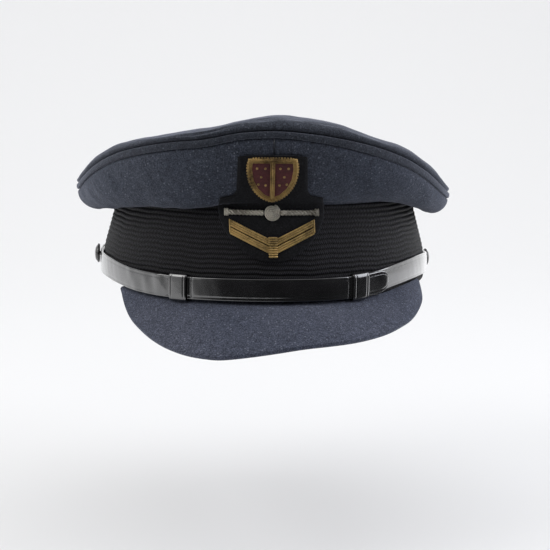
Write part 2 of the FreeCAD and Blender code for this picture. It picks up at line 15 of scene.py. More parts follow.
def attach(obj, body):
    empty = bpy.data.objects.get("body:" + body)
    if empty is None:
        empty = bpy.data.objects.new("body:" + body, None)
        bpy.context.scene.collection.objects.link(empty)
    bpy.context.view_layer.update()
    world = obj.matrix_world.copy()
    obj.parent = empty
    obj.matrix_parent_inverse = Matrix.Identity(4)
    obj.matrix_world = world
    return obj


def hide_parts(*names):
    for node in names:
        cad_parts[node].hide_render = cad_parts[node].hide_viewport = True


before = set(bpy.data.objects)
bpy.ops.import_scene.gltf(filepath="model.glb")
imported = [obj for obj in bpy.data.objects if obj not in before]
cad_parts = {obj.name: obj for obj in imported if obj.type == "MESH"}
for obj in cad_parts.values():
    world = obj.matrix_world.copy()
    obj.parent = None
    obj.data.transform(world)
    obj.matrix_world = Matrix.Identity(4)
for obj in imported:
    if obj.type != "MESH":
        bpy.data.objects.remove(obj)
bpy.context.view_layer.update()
MM = 0.001

# ---------------------------------------------------------------- driving sizes (mm)
BAND_X, BAND_Y = 90.3, 101.0            # half width and half length of the band at its foot
LEAN_Z, LEAN_EASE = 15.0, 5.0           # the band leans in above this height, eased either side
LEAN_X, LEAN_Y = 0.272, 0.160           # lean per mm of height
BRAID_H = 47.6
CROWN_R, CROWN_L, CROWN_F, CROWN_B = 104.4, 102.8, 114.0, 116.0     # crown reach: -X, +X, -Y, +Y
CROWN_MID_Z = 73.0
ROLL, FLAT = 0.28, 0.72                 # shares of the way inwards: rolled rim, then flat top
SEAM_FRONT = -1.2                       # angle of the front seam
BADGE_X, BADGE_TILT, BADGE_FOOT = -1.2, -0.030, 20.0
STRAP_W, STRAP_T = 11.5, 1.1
STRAP_OUT = 1.95                        # how far the outer strap lies off the band
BUTTON_R = 5.4
POSTS = {-1: (-BAND_X, 0.0, 10.7), 1: (90.2, 5.0, 7.9)}     # button feet, by the sign of X
PEAK_X, PEAK_Y = 90.6, 101.4            # half axes of the line the peak springs from

# ---------------------------------------------------------------- stations: (angle, value)
# closed round the cap: height of the seam under the crown's rim
SEAM_Z = [
    (-180, 62), (-150, 60), (-120, 53), (-100, 48.6), (-90, 47.7), (-80, 49.3), (-70, 55),
    (-60, 62), (-50, 68), (-40, 72), (-30, 74.8), (-20, 76.9), (-10, 80.7), (0, 81.7), (10, 79.9),
    (20, 76.5), (30, 72.1), (40, 66.7), (50, 59.8), (60, 52.6), (70, 47.5), (80, 45.2),
    (90, 44.8), (105, 47), (120, 51), (150, 59.5)]
# height of the welt on that seam
WELT_H = [(-180, 3.2), (-90, 2.6), (-60, 3.0), (-30, 3.4), (0, 2.9), (30, 3.9), (50, 3.6),
          (75, 2.8), (120, 3.0)]
# rise of the top's rolled rim over the welt
RISE = [(-180, 6.0), (-90, 6.5), (-60, 7.2), (-45, 6.2), (-30, 5.6), (-20, 6.0), (-8, 6.4),
        (0, 7.2), (10, 7.6), (30, 6.8), (50, 8.0), (70, 7.5), (90, 6.5), (130, 6.0)]
# the two inner control points of the quarters' Bezier profile: height, then share of the reach
CONTROL_Z1 = [
    (-180, 49), (-150, 44), (-120, 35), (-90, 29), (-65, 32), (-50, 36), (-38, 36), (-25, 38),
    (-12, 50), (0, 56), (15, 54), (30, 48), (45, 44), (60, 38), (75, 31), (90, 28), (120, 35),
    (150, 44)]
CONTROL_Z2 = [
    (-180, 56), (-150, 52), (-120, 43), (-90, 37), (-65, 44), (-50, 50), (-38, 56), (-25, 62),
    (-12, 68), (0, 71), (15, 68), (30, 61), (45, 53), (60, 43), (75, 36.5), (90, 35), (120, 42),
    (150, 51)]
CONTROL_U1 = [(-180, .38), (-90, .34), (-40, .40), (0, .42), (40, .40), (90, .34)]
CONTROL_U2 = [(-180, .92), (-90, 1.03), (-45, .97), (0, .92), (45, .97), (90, 1.03)]
# open: length of the peak down its slope
PEAK_L = [
    (-60, 1.22), (-57, 3.67), (-51, 9.65), (-45, 15.6), (-39, 20.85), (-33, 26.3), (-27, 31.3),
    (-21, 35.3), (-15, 37.6), (-12, 37.8), (-6, 36.3), (0, 34.5), (6, 32.5), (12, 31.2),
    (18, 29.7), (24, 27.6), (30, 25.3), (36, 22.5), (42, 19.8), (48, 16.2), (54, 12.2),
    (57, 9.4), (60, 5.9), (63, 2)]
# height of the line the peak springs from
PEAK_Z = [(-61, 0.0), (-50, -0.9), (-35, -1.3), (0, -1.0), (22, -0.9), (38, 1.0), (50, 3.0),
          (58, 3.8), (66, 4.1)]
# height of the chin strap's centre line
STRAP_Z = [
    (-110, 9.2), (-95, 8.9), (-80, 8.1), (-67, 7.6), (-60, 6.9), (-51, 5.9), (-42, 5.3),
    (-30, 5.2), (-14, 5.7), (0, 5.9), (22, 5.95), (28, 6.2), (36, 7.5), (44, 9.2), (50, 10.1),
    (57, 10.7), (66, 10.6), (78, 9.0), (92, 7.2), (110, 6.8)]
# how far the two strap halves lie off the band, eased from station to station
OUTER_OFF = [(-84, 0.75), (-66, 0.7), (-44, STRAP_OUT), (60, STRAP_OUT)]
INNER_OFF = [(60, 0.5), (84, 0.8)]


# ---------------------------------------------------------------- curves
def hermite(x, y, slope, at):
    i = np.clip(np.searchsorted(x, at, side="right") - 1, 0, len(x) - 2)
    step = x[i + 1] - x[i]
    u = (at - x[i]) / step
    square = u * u
    cube = square * u
    return ((2 * cube - 3 * square + 1) * y[i] + (cube - 2 * square + u) * step * slope[i]
            + (-2 * cube + 3 * square) * y[i + 1] + (cube - square) * step * slope[i + 1])


def cyclic(stations, angle):
    """Smooth curve through stations that close round the cap; the first is at -180."""
    x, y = np.array(stations, float).T
    x = np.concatenate([x[-2:] - 360.0, x, x[:2] + 360.0])
    y = np.concatenate([y[-2:], y, y[:2]])
    step = np.diff(x)
    rise = np.diff(y) / step
    slope = (rise[1:] * step[:-1] + rise[:-1] * step[1:]) / (x[2:] - x[:-2])
    return hermite(x[1:-1], y[1:-1], slope, (np.asarray(angle, float) + 180.0) % 360.0 - 180.0)


def spline(stations, angle):
    """Smooth curve through open stations, level beyond both ends."""
    points = np.array(stations, float)
    points = np.vstack([2 * points[0] - points[1], points, 2 * points[-1] - points[-2]])
    x, y = points.T
    slope = (y[2:] - y[:-2]) / (x[2:] - x[:-2])
    return hermite(x[1:-1], y[1:-1], slope, np.clip(angle, x[1], x[-2]))


def eased(stations, angle):
    """Smooth steps from station to station."""
    x, y = np.array(stations, float).T
    i = np.clip(np.searchsorted(x, angle) - 1, 0, len(x) - 2)
    u = np.clip((angle - x[i]) / (x[i + 1] - x[i]), 0, 1)
    return y[i] + (y[i + 1] - y[i]) * u * u * (3 - 2 * u)


def bezier(p0, p1, p2, p3, t):
    m = 1 - t
    return m * m * m * p0 + 3 * m * m * t * p1 + 3 * m * t * t * p2 + t * t * t * p3


def bezier_slope(p0, p1, p2, p3, t):
    m = 1 - t
    return 3 * m * m * (p1 - p0) + 6 * m * t * (p2 - p1) + 3 * t * t * (p3 - p2)


def bell(x, width):
    return np.exp(-(x / width) ** 2)


def squared(wave, power):
    """A sine or cosine made boxier by a power below 1."""
    return np.sign(wave) * np.abs(wave) ** power


def hump(count, height):
    """Half a sine wave: the rise of one stitch."""
    return height * np.sin(np.linspace(0, math.pi, count))


def smooth_noise(points, scale, seed):
    """Sum of nine random sine waves about scale mm long, about -1 to 1."""
    random = np.random.RandomState(seed)
    total = np.zeros(points.shape[:-1])
    for _ in range(9):
        wave = random.normal(size=3)
        wave = wave / np.linalg.norm(wave) * (0.6 + 0.9 * random.rand()) * 2 * math.pi / scale
        total += np.sin(points @ wave + random.rand() * 6.28)
    return total / 3.2


def arc_length(path):
    return np.concatenate([[0], np.cumsum(np.linalg.norm(np.diff(path, axis=0), axis=1))])


def resample(path, length, at):
    return np.stack([np.interp(at, length, axis) for axis in path.T], -1)


# ---------------------------------------------------------------- the cap's surfaces
def band_half(z):
    above = np.asarray(z, float) - LEAN_Z
    ease = (above + LEAN_EASE) ** 2 / (4 * LEAN_EASE)
    above = np.where(above <= -LEAN_EASE, 0.0, np.where(above >= LEAN_EASE, above, ease))
    return BAND_X - LEAN_X * above, BAND_Y - LEAN_Y * above


def band_pt(angle, z, off=0.0):
    """Point on the band, moved off mm outwards."""
    half_x, half_y = band_half(z)
    turn = np.radians(angle)
    x, y = half_x * np.sin(turn), -half_y * np.cos(turn)
    out_x, out_y = x / (half_x * half_x), y / (half_y * half_y)
    size = np.hypot(out_x, out_y)
    return np.stack([x + off * out_x / size, y + off * out_y / size, z + 0.0 * x], -1)


def crown_ring(angle, inset=0.0):
    """x and y on the crown's rim, moved inwards."""
    turn = np.radians(angle)
    sine, cosine = np.sin(turn), np.cos(turn)
    half_x = 0.5 * (CROWN_R + CROWN_L) + 0.5 * (CROWN_L - CROWN_R) * sine
    half_y = 0.5 * (CROWN_F + CROWN_B) + 0.5 * (CROWN_F - CROWN_B) * cosine
    return (half_x - inset) * sine, -(half_y - inset) * cosine


def quarter_pt(angle, t, off=0.0):
    """Point on the crown's side; t is 0 at the braid's top and 1 at the seam."""
    foot = band_pt(angle, np.full(np.shape(angle), BRAID_H + 0.5))
    rim_x, rim_y = crown_ring(angle)
    reach_x, reach_y = rim_x - foot[..., 0], rim_y - foot[..., 1]
    reach = np.hypot(reach_x, reach_y)
    across = (0.0, cyclic(CONTROL_U1, angle), cyclic(CONTROL_U2, angle), 1.0)
    up = (foot[..., 2], cyclic(CONTROL_Z1, angle), cyclic(CONTROL_Z2, angle),
          cyclic(SEAM_Z, angle))
    u, z = bezier(*across, t), bezier(*up, t)
    slope_u, slope_z = bezier_slope(*across, t) * reach, bezier_slope(*up, t)
    size = np.hypot(slope_u, slope_z)
    out, rise = -slope_z / size, slope_u / size
    return np.stack([foot[..., 0] + u * reach_x + off * out * reach_x / reach,
                     foot[..., 1] + u * reach_y + off * out * reach_y / reach,
                     z + off * rise], -1)


def top_pt(angle, inward):
    """Point on the crown's top; inward is 0 at the seam and 1 at the centre."""
    seam_z = cyclic(SEAM_Z, angle) + cyclic(WELT_H, angle)
    rise = cyclic(RISE, angle)
    roll = np.clip(inward / ROLL, 0, 1)
    inset = bezier(0.0, -0.6, 4.2, 12.0, roll) - 0.3
    roll_z = seam_z + bezier(0.0 * rise, rise * 0.6, rise, rise, roll)
    flat = np.clip((inward - ROLL) / FLAT, 0, 1)
    blend = flat * flat * (3 - 2 * flat)
    sag = -1.5 * np.sin(np.pi * np.minimum(1, flat * 1.3)) * (1 - flat)
    flat_z = (seam_z + rise) * (1 - blend) + CROWN_MID_Z * blend + sag
    x, y = crown_ring(angle, inset)
    return np.stack([x * (1 - flat), y * (1 - flat), np.where(inward < ROLL, roll_z, flat_z)], -1)


def peak_length(angle, shrink=0.0):
    return np.maximum(0.6, spline(PEAK_L, angle) - shrink)


def peak_pt(angle, share, off=0.0, shrink=0.0):
    """Point on the peak; share is 0 at the band and 1 at the edge, off is downwards."""
    turn = np.radians(angle)
    sine, cosine = np.sin(turn), np.cos(turn)
    out_x, out_y = sine / PEAK_X, -cosine / PEAK_Y
    size = np.hypot(out_x, out_y)
    side = np.abs(angle) / 65.0
    slope = np.radians(29 + 24 * side * side
                       - 3.5 * np.tanh(angle / 14.0) * (1 - np.minimum(1, side) ** 2))
    length = peak_length(angle, shrink)
    start = off * np.tan(slope)
    run = start + (length - start) * share
    part = run / length
    lift = 0.055 * length * 4 * part * (1 - part) - off
    out = run * np.cos(slope) + lift * np.sin(slope)
    rise = -run * np.sin(slope) + lift * np.cos(slope)
    return np.stack([PEAK_X * sine + out_x / size * out, -PEAK_Y * cosine + out_y / size * out,
                     rise + spline(PEAK_Z, angle)], -1)


def front_y(x, z):
    """How far forward the cap's face is: band and crown side, softly joined."""
    x, z = np.broadcast_arrays(x, z)
    half_x, half_y = band_half(z)
    band = half_y * np.sqrt(np.clip(1 - (x / half_x) ** 2, 0, 1))
    angle = np.degrees(np.arcsin(np.clip(x / 97.0, -1, 1)))
    for _ in range(4):
        low, high = np.zeros(x.shape), np.ones(x.shape)
        for _ in range(22):
            middle = 0.5 * (low + high)
            below = quarter_pt(angle, middle)[..., 2] < z
            low, high = np.where(below, middle, low), np.where(below, high, middle)
        point = quarter_pt(angle, low)
        angle = angle + np.degrees((x - point[..., 0]) / 100.0)
    crown = -point[..., 1] - 0.6 * np.maximum(0.0, point[..., 2] - z)
    return 0.5 * (band + crown + np.sqrt((band - crown) ** 2 + 1.0))


# ---------------------------------------------------------------- mesh helpers
def link(obj):
    bpy.context.scene.collection.objects.link(obj)
    return obj


def mesh_obj(name, verts, faces, uv=None):
    mesh = bpy.data.meshes.new(name)
    mesh.from_pydata((np.asarray(verts, float) * MM).tolist(), [],
                     [tuple(int(i) for i in face) for face in faces])
    mesh.update()
    mesh.polygons.foreach_set("use_smooth", [True] * len(mesh.polygons))
    if uv is not None:
        layer = mesh.uv_layers.new(name="UVMap")
        index = np.zeros(len(mesh.loops), np.int64)
        mesh.loops.foreach_get("vertex_index", index)
        layer.data.foreach_set("uv", np.asarray(uv, np.float32).reshape(-1, 2)[index].ravel())
    return link(bpy.data.objects.new(name, mesh))


def grid_faces(rows, cols, close_rows=False, close_cols=False, flip=False):
    i = np.arange(rows if close_rows else rows - 1)[:, None]
    j = np.arange(cols if close_cols else cols - 1)[None, :]
    next_i, next_j = (i + 1) % rows, (j + 1) % cols
    corners = [i * cols + j, next_i * cols + j, next_i * cols + next_j, i * cols + next_j]
    if flip:
        corners = [corners[k] for k in (0, 3, 2, 1)]
    return np.stack(corners, -1).reshape(-1, 4)


def thicken(obj, thick):
    solidify = obj.modifiers.new("Thick", "SOLIDIFY")
    solidify.thickness = thick * MM
    solidify.offset = -1
    return obj


def grid_obj(name, points, close_rows=False, close_cols=False, flip=False, uv=None, thick=None,
             cap_ends=False):
    rows, cols = points.shape[:2]
    faces = grid_faces(rows, cols, close_rows, close_cols, flip).tolist()
    if cap_ends:
        ends = [list(range(cols)), [(rows - 1) * cols + j for j in reversed(range(cols))]]
        faces += [end[::-1] if flip else end for end in ends]
    obj = mesh_obj(name, points.reshape(-1, 3), faces, uv)
    return thicken(obj, thick) if thick else obj


def uv_grid(u, v):
    return np.stack(np.broadcast_arrays(u, v), -1)


def disc_mesh(points, drop=0.0):
    """A sheet of spokes (rows, rim to middle) closed by a vertex on the cap's axis."""
    rows, cols = points.shape[:2]
    middle = points[:, -1, 2].mean() - drop
    verts = np.vstack([points.reshape(-1, 3), [[0, 0, middle]]])
    faces = grid_faces(rows, cols, close_rows=True).tolist()
    faces += [(i * cols + cols - 1, ((i + 1) % rows) * cols + cols - 1, rows * cols)
              for i in range(rows)]
    return verts, faces


def tipped_tube(rings, tips, flip=False):
    """Rings joined in a tube, with a fan to a tip at each end."""
    count, sides = rings.shape[:2]
    faces = grid_faces(count, sides, close_cols=True, flip=flip).tolist()
    tip, last = count * sides, (count - 1) * sides
    for i in range(sides):
        j = (i + 1) % sides
        fans = [(tip, j, i), (tip + 1, last + i, last + j)]
        faces += [fan[::-1] for fan in fans] if flip else fans
    return np.vstack([rings.reshape(-1, 3), *tips]), faces


class Batch:
    """Many small meshes gathered in one object."""

    def __init__(self):
        self.verts, self.faces = [], []

    def add(self, verts, faces):
        start = len(self.verts)
        self.verts.extend(verts)
        self.faces += [[i + start for i in face] for face in faces]

    def tube(self, path, radius, sides):
        """A round tube along a path; the radius may vary."""
        path = np.asarray(path, float)
        radius = np.broadcast_to(np.asarray(radius, float), (len(path),))
        tangent = np.gradient(path, axis=0)
        tangent /= np.linalg.norm(tangent, axis=1)[:, None] + 1e-12
        normal = np.zeros_like(path)
        side = np.array([0, 0, 1.0] if abs(tangent[0][2]) < 0.9 else [0, 1.0, 0])
        for i, ahead in enumerate(tangent):
            side = side - ahead * (side @ ahead)
            side /= np.linalg.norm(side) + 1e-12
            normal[i] = side
        across = np.cross(tangent, normal)
        around = (np.arange(sides) * 2 * math.pi / sides)[None, :, None]
        spokes = np.cos(around) * normal[:, None, :] + np.sin(around) * across[:, None, :]
        rings = path[:, None, :] + radius[:, None, None] * spokes
        tips = (path[0] - tangent[0] * radius[0] * 0.5, path[-1] + tangent[-1] * radius[-1] * 0.5)
        self.add(*tipped_tube(rings, tips))

    def cord(self, path, radius, pitch=0.5, depth=0.24, sides=8):
        """Metal purl: a cord wound like a fine spring, drawn in at its ends."""
        path = np.asarray(path, float)
        length = arc_length(path)
        total = length[-1]
        at = np.linspace(0, total, max(6, int(total / (pitch / 4.0))))
        taper = np.minimum(1, np.minimum(at, total - at) / (radius * 1.2) + 0.35)
        winding = 1 - depth * (0.5 - 0.5 * np.cos(2 * math.pi * at / pitch))
        self.tube(resample(path, length, at), radius * taper * winding, sides)

    def ball(self, centre, radius, seg, rings, squash=1.0):
        """A ball with its poles along Y, squashed that way."""
        polar = np.pi * np.arange(1, rings)[:, None] / rings
        around = 2 * np.pi * np.arange(seg)[None, :] / seg
        shell = np.stack(np.broadcast_arrays(np.sin(polar) * np.cos(around),
                                             -squash * np.cos(polar),
                                             np.sin(polar) * np.sin(around)), -1)
        pole = np.array([0, -radius * squash, 0])
        verts = np.vstack([(centre + radius * shell).reshape(-1, 3), centre + pole, centre - pole])
        faces = np.roll(grid_faces(rings - 1, seg, close_cols=True), -1, axis=1).tolist()
        tip, last = (rings - 1) * seg, (rings - 2) * seg
        for i in range(seg):
            j = (i + 1) % seg
            faces += [(i, j, tip), (last + j, last + i, tip + 1)]
        self.add(verts, faces)

    def finish(self, name, slot, material, node=None, body="cap"):
        return finish(mesh_obj(name, self.verts, self.faces), material, node, body)


def finish(obj, material, node=None, body="cap"):
    """Give a piece its material, the body it rides on and the CAD node it replaces."""
    obj.data.materials.clear()
    obj.data.materials.append(material)
    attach(obj, body)
    if node:
        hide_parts(node)
    return obj


# ---------------------------------------------------------------- shader helpers
class Shader:
    """The node tree of a material or world. Inputs take a value or a socket to link."""

    def __init__(self, owner):
        owner.use_nodes = True
        self.owner, self.tree = owner, owner.node_tree
        self.coords = self.node("ShaderNodeTexCoord").outputs

    def put(self, node, inputs):
        for key, value in inputs.items():
            if isinstance(value, bpy.types.NodeSocket):
                self.tree.links.new(value, node.inputs[key])
            else:
                node.inputs[key].default_value = value

    def node(self, kind, inputs={}, **settings):
        node = self.tree.nodes.new(kind)
        for key, value in settings.items():
            setattr(node, key, value)
        self.put(node, inputs)
        return node

    def surface(self, inputs):
        self.put(self.tree.nodes["Principled BSDF"], inputs)
        return self.owner

    def noise(self, scale, detail=3.0, rough=0.55):
        return self.node("ShaderNodeTexNoise", {
            "Scale": scale, "Detail": detail, "Roughness": rough,
            "Vector": self.coords["Object"]}).outputs["Fac"]

    def cells(self, scale, feature="F1"):
        return self.node("ShaderNodeTexVoronoi", {
            "Scale": scale, "Vector": self.coords["Object"]}, feature=feature).outputs

    def ramp(self, value, stops):
        """Colour ramp; stops are (position, colour or grey level)."""
        node = self.node("ShaderNodeValToRGB", {"Fac": value})
        elements = node.color_ramp.elements
        while len(elements) < len(stops):
            elements.new(0.5)
        for element, (position, colour) in zip(elements, stops):
            element.position = position
            element.color = (*(colour if isinstance(colour, tuple) else (colour,) * 3), 1)
        return node.outputs["Color"]

    def remap(self, value, source, target):
        return self.node("ShaderNodeMapRange", {
            "From Min": source[0], "From Max": source[1],
            "To Min": target[0], "To Max": target[1], "Value": value}).outputs["Result"]

    def math(self, operation, *values):
        return self.node("ShaderNodeMath", dict(enumerate(values)), operation=operation).outputs[0]

    def add(self, first, second):
        return self.math("ADD", first, second)

    def mul(self, first, second):
        return self.math("MULTIPLY", first, second)

    def mix(self, factor, first, second, blend="MIX"):
        node = self.node("ShaderNodeMix", {0: 0.0}, data_type="RGBA", blend_type=blend)
        first, second = [(*c, 1) if isinstance(c, tuple) else c for c in (first, second)]
        self.put(node, {0: factor, 6: first, 7: second})
        return node.outputs[2]

    def tint(self, colour, by):
        return self.mix(1.0, colour, by, "MULTIPLY")

    def switch(self, factor, first, second):
        """Mix of two numbers."""
        return self.node("ShaderNodeMix", {0: factor, 2: first, 3: second},
                         data_type="FLOAT").outputs[0]

    def red(self, colour):
        return self.node("ShaderNodeSeparateColor", {0: colour}).outputs[0]

    def xyz(self, vector):
        return self.node("ShaderNodeSeparateXYZ", {0: vector}).outputs

    def uv(self):
        return self.xyz(self.node("ShaderNodeUVMap").outputs[0])

    def bump(self, height, distance, strength=1.0, normal=None):
        inputs = {"Strength": strength, "Distance": distance, "Height": height}
        if normal is not None:
            inputs["Normal"] = normal
        return self.node("ShaderNodeBump", inputs).outputs["Normal"]


def new_material(name):
    return Shader(bpy.data.materials.new(name))


def scaled(colour, factor):
    return tuple(min(1, channel * factor) for channel in colour)


# ---------------------------------------------------------------- materials
def wool(name, base, fleck, sheen):
    """Short-napped wool: mottled fibres, pale flecks and a soft nap."""
    shader = new_material(name)
    broad = shader.noise(scale=22)
    nap = shader.noise(scale=420, rough=0.65)
    fibre = shader.noise(scale=1500, detail=2, rough=0.7)
    mottle = shader.ramp(nap, [(0.34, scaled(base, 0.52)), (0.50, base),
                               (0.66, scaled(base, 1.62))])
    fibres = shader.ramp(fibre, [(0.36, scaled(base, 0.36)), (0.50, base),
                                 (0.64, scaled(base, 2.35))])
    colour = shader.mix(0.62, mottle, fibres)
    colour = shader.tint(colour, shader.ramp(broad, [(0.3, (0.86, 0.88, 0.90)),
                                                     (0.7, (1.12, 1.10, 1.08))]))
    cells = shader.cells(scale=760)
    spots = shader.ramp(cells["Distance"], [(0.20, 1), (0.40, 0)])
    chosen = shader.math("GREATER_THAN", shader.red(cells["Color"]), 0.84)
    flecks = shader.mul(shader.mul(shader.red(spots), chosen), fleck)
    nap_bump = shader.bump(nap, distance=0.00045, strength=0.55)
    return shader.surface({
        "Base Color": shader.mix(flecks, colour, (0.27, 0.29, 0.35)),
        "Roughness": 0.95,
        "Specular IOR Level": 0.18,
        "Sheen Weight": sheen,
        "Sheen Roughness": 0.45,
        "Sheen Tint": (0.62, 0.66, 0.80, 1),
        "Normal": shader.bump(fibre, distance=0.00022, strength=0.55, normal=nap_bump)})


def mohair():
    """Black ribbed braid; UV is mm along and up, and the yarn zigzags from rib to rib."""
    shader = new_material("mohair")
    along, up, _ = shader.uv()
    zigzag = shader.math("PINGPONG", up, 1.24)
    phase = shader.add(shader.mul(along, 5.6), shader.mul(zigzag, 4.2))
    yarn = shader.remap(shader.math("SINE", phase), source=(-1, 1), target=(0, 1))
    hair = shader.noise(scale=900, rough=0.65)
    broad = shader.noise(scale=30)
    height = shader.add(shader.mul(yarn, 0.7), shader.mul(hair, 0.6))
    colour = shader.ramp(height, [(0.25, (0.0010, 0.0010, 0.0012)),
                                  (0.62, (0.0034, 0.0033, 0.0040)),
                                  (0.95, (0.018, 0.0175, 0.021))])
    colour = shader.tint(colour, shader.ramp(broad, [(0.3, 0.8), (0.7, 1.25)]))
    # painted light on the ribs: each rib's crest is lighter as a painted highlight and its valley
    # darker as painted shade
    crest = shader.math("PINGPONG", shader.math("SUBTRACT", up, 0.6), 1.229)
    rib_painted_light = shader.ramp(shader.mul(crest, 0.8137), [(0.05, 0.25), (0.55, (1.0, 1.0, 1.05)),
                                                   (1.0, (1.9, 1.88, 2.0))])
    return shader.surface({
        "Base Color": shader.tint(colour, rib_painted_light),
        "Roughness": 0.58,
        "Specular IOR Level": 0.17,
        "Sheen Weight": 0.02,
        "Sheen Roughness": 0.4,
        "Normal": shader.bump(height, distance=0.00028, strength=0.9)})


def patent():
    """Glossy black patent leather, finely crazed in patches."""
    shader = new_material("patent")
    broad = shader.noise(scale=60)
    fine = shader.noise(scale=900, rough=0.6)
    crack = shader.ramp(shader.cells(scale=240, feature="DISTANCE_TO_EDGE")["Distance"],
                        [(0.0, 1), (0.035, 0)])
    patch = shader.ramp(shader.noise(scale=45, detail=2), [(0.55, 0), (0.68, 1)])
    cracks = shader.mul(shader.red(crack), shader.red(patch))
    base = shader.ramp(broad, [(0.3, (0.006, 0.006, 0.0066)), (0.7, (0.013, 0.013, 0.014))])
    height = shader.add(shader.mul(fine, 0.012), shader.mul(cracks, -0.4))
    waves = shader.bump(broad, distance=0.0006, strength=0.20)
    return shader.surface({
        "Base Color": shader.mix(shader.mul(cracks, 0.35), base, (0.09, 0.085, 0.08)),
        "Roughness": shader.remap(broad, source=(0.3, 0.7), target=(0.13, 0.27)),
        "Specular IOR Level": 0.75,
        "Coat Weight": 1.0,
        "Coat Roughness": 0.09,
        "Coat IOR": 1.72,
        "Normal": shader.bump(height, distance=0.0001, strength=0.45, normal=waves),
        "Coat Normal": waves})


def leather(name, base, rough, scale, depth):
    """Grained leather; also serves for foam and plain plastic."""
    shader = new_material(name)
    edge = shader.cells(scale, feature="DISTANCE_TO_EDGE")["Distance"]
    broad = shader.noise(scale=28, detail=4)
    fine = shader.noise(scale=scale * 2.2, detail=2)
    colour = shader.ramp(broad, [(0.25, scaled(base, 0.62)), (0.55, base),
                                 (0.8, scaled(base, 1.35))])
    groove = shader.remap(edge, source=(0, 0.12), target=(0.55, 1.0))
    grooves = shader.node("ShaderNodeCombineColor", {0: groove, 1: groove, 2: groove}).outputs[0]
    height = shader.add(shader.remap(edge, source=(0, 0.15), target=(0, 1)),
                        shader.mul(fine, 0.35))
    return shader.surface({
        "Base Color": shader.tint(colour, grooves),
        "Roughness": shader.remap(broad, source=(0.3, 0.7), target=(rough - 0.08, rough + 0.12)),
        "Normal": shader.bump(height, depth, strength=0.6)})


def metal(name, base, dark, rough, metallic=1.0, coat=0.0):
    """Tarnished metal, or glossy paint when metallic is 0."""
    shader = new_material(name)
    broad = shader.noise(scale=90, detail=4, rough=0.6)
    fine = shader.noise(scale=1000, rough=0.6)
    tarnish = shader.add(shader.mul(broad, 0.7), shader.mul(fine, 0.3))
    return shader.surface({
        "Base Color": shader.ramp(tarnish, [(0.36, dark), (0.54, base),
                                            (0.72, scaled(base, 1.25))]),
        "Metallic": metallic,
        "Roughness": shader.remap(broad, source=(0.3, 0.7), target=(rough - 0.08, rough + 0.2)),
        "Coat Weight": coat,
        "Normal": shader.bump(fine, distance=0.00006, strength=0.5)})


def weave(name, base, density, rough, depth, sheen=0.3, satin=False):
    """Plain or satin weave from crossed sines of the UV, in mm."""
    shader = new_material(name)
    u, v, _ = shader.uv()
    warp = shader.math("SINE", shader.mul(u, density * 2.2))
    weft = shader.math("SINE", shader.mul(v, density * (6.0 if satin else 2.2)))
    threads = shader.remap(shader.mul(warp, weft), source=(-1, 1), target=(0, 1))
    broad = shader.noise(scale=18)
    fine = shader.noise(scale=1200, detail=2)
    height = shader.add(shader.mul(threads, 0.5), shader.mul(fine, 0.5))
    colour = shader.ramp(height, [(0.2, scaled(base, 0.6)), (0.5, base), (0.8, scaled(base, 1.4))])
    return shader.surface({
        "Base Color": shader.tint(colour, shader.ramp(broad, [(0.3, 0.85), (0.7, 1.12)])),
        "Roughness": rough,
        "Sheen Weight": sheen,
        "Normal": shader.bump(height, depth, strength=0.7)})


def velvet():
    shader = new_material("velvet_red")
    pile = shader.noise(scale=900, rough=0.6)
    broad = shader.noise(scale=160)
    return shader.surface({
        "Base Color": shader.ramp(
            shader.add(shader.mul(pile, 0.5), shader.mul(broad, 0.5)),
            [(0.3, (0.018, 0.004, 0.005)), (0.55, (0.055, 0.009, 0.011)),
             (0.8, (0.11, 0.018, 0.022))]),
        "Roughness": 0.9,
        "Sheen Weight": 0.7,
        "Sheen Tint": (1, 0.35, 0.35, 1),
        "Normal": shader.bump(pile, distance=0.0003, strength=0.8)})


def clear_film():
    shader = new_material("clear_film")
    broad = shader.noise(scale=35)
    return shader.surface({
        "Base Color": (0.86, 0.83, 0.72, 1),
        "Roughness": shader.remap(broad, source=(0.3, 0.7), target=(0.06, 0.2)),
        "Transmission Weight": 0.85,
        "IOR": 1.4,
        "Alpha": 0.42,
        "Normal": shader.bump(broad, distance=0.002, strength=0.4)})


WOOL = wool("wool", (0.0365, 0.042, 0.057), fleck=0.30, sheen=0.30)
# The crown top and welt use this copy of the crown's wool with a darker base colour, as painted
# shade.
WOOL_TOP_SHADED = wool("wool_top", (0.0265, 0.030, 0.039), fleck=0.20, sheen=0.50)
MOHAIR = mohair()
PATENT = patent()
UNDER = leather("underside_leather", (0.020, 0.020, 0.022), rough=0.42, scale=520, depth=0.00022)
SWEAT = leather("sweat_leather", (0.25, 0.125, 0.055), rough=0.48, scale=900, depth=0.00012)
LINING = weave("lining_satin", (0.030, 0.036, 0.055), density=4.0, rough=0.42, depth=0.00006,
               sheen=0.2, satin=True)
RIBBON = weave("ribbon", (0.012, 0.012, 0.013), density=4.0, rough=0.35, depth=0.00005,
               satin=True)
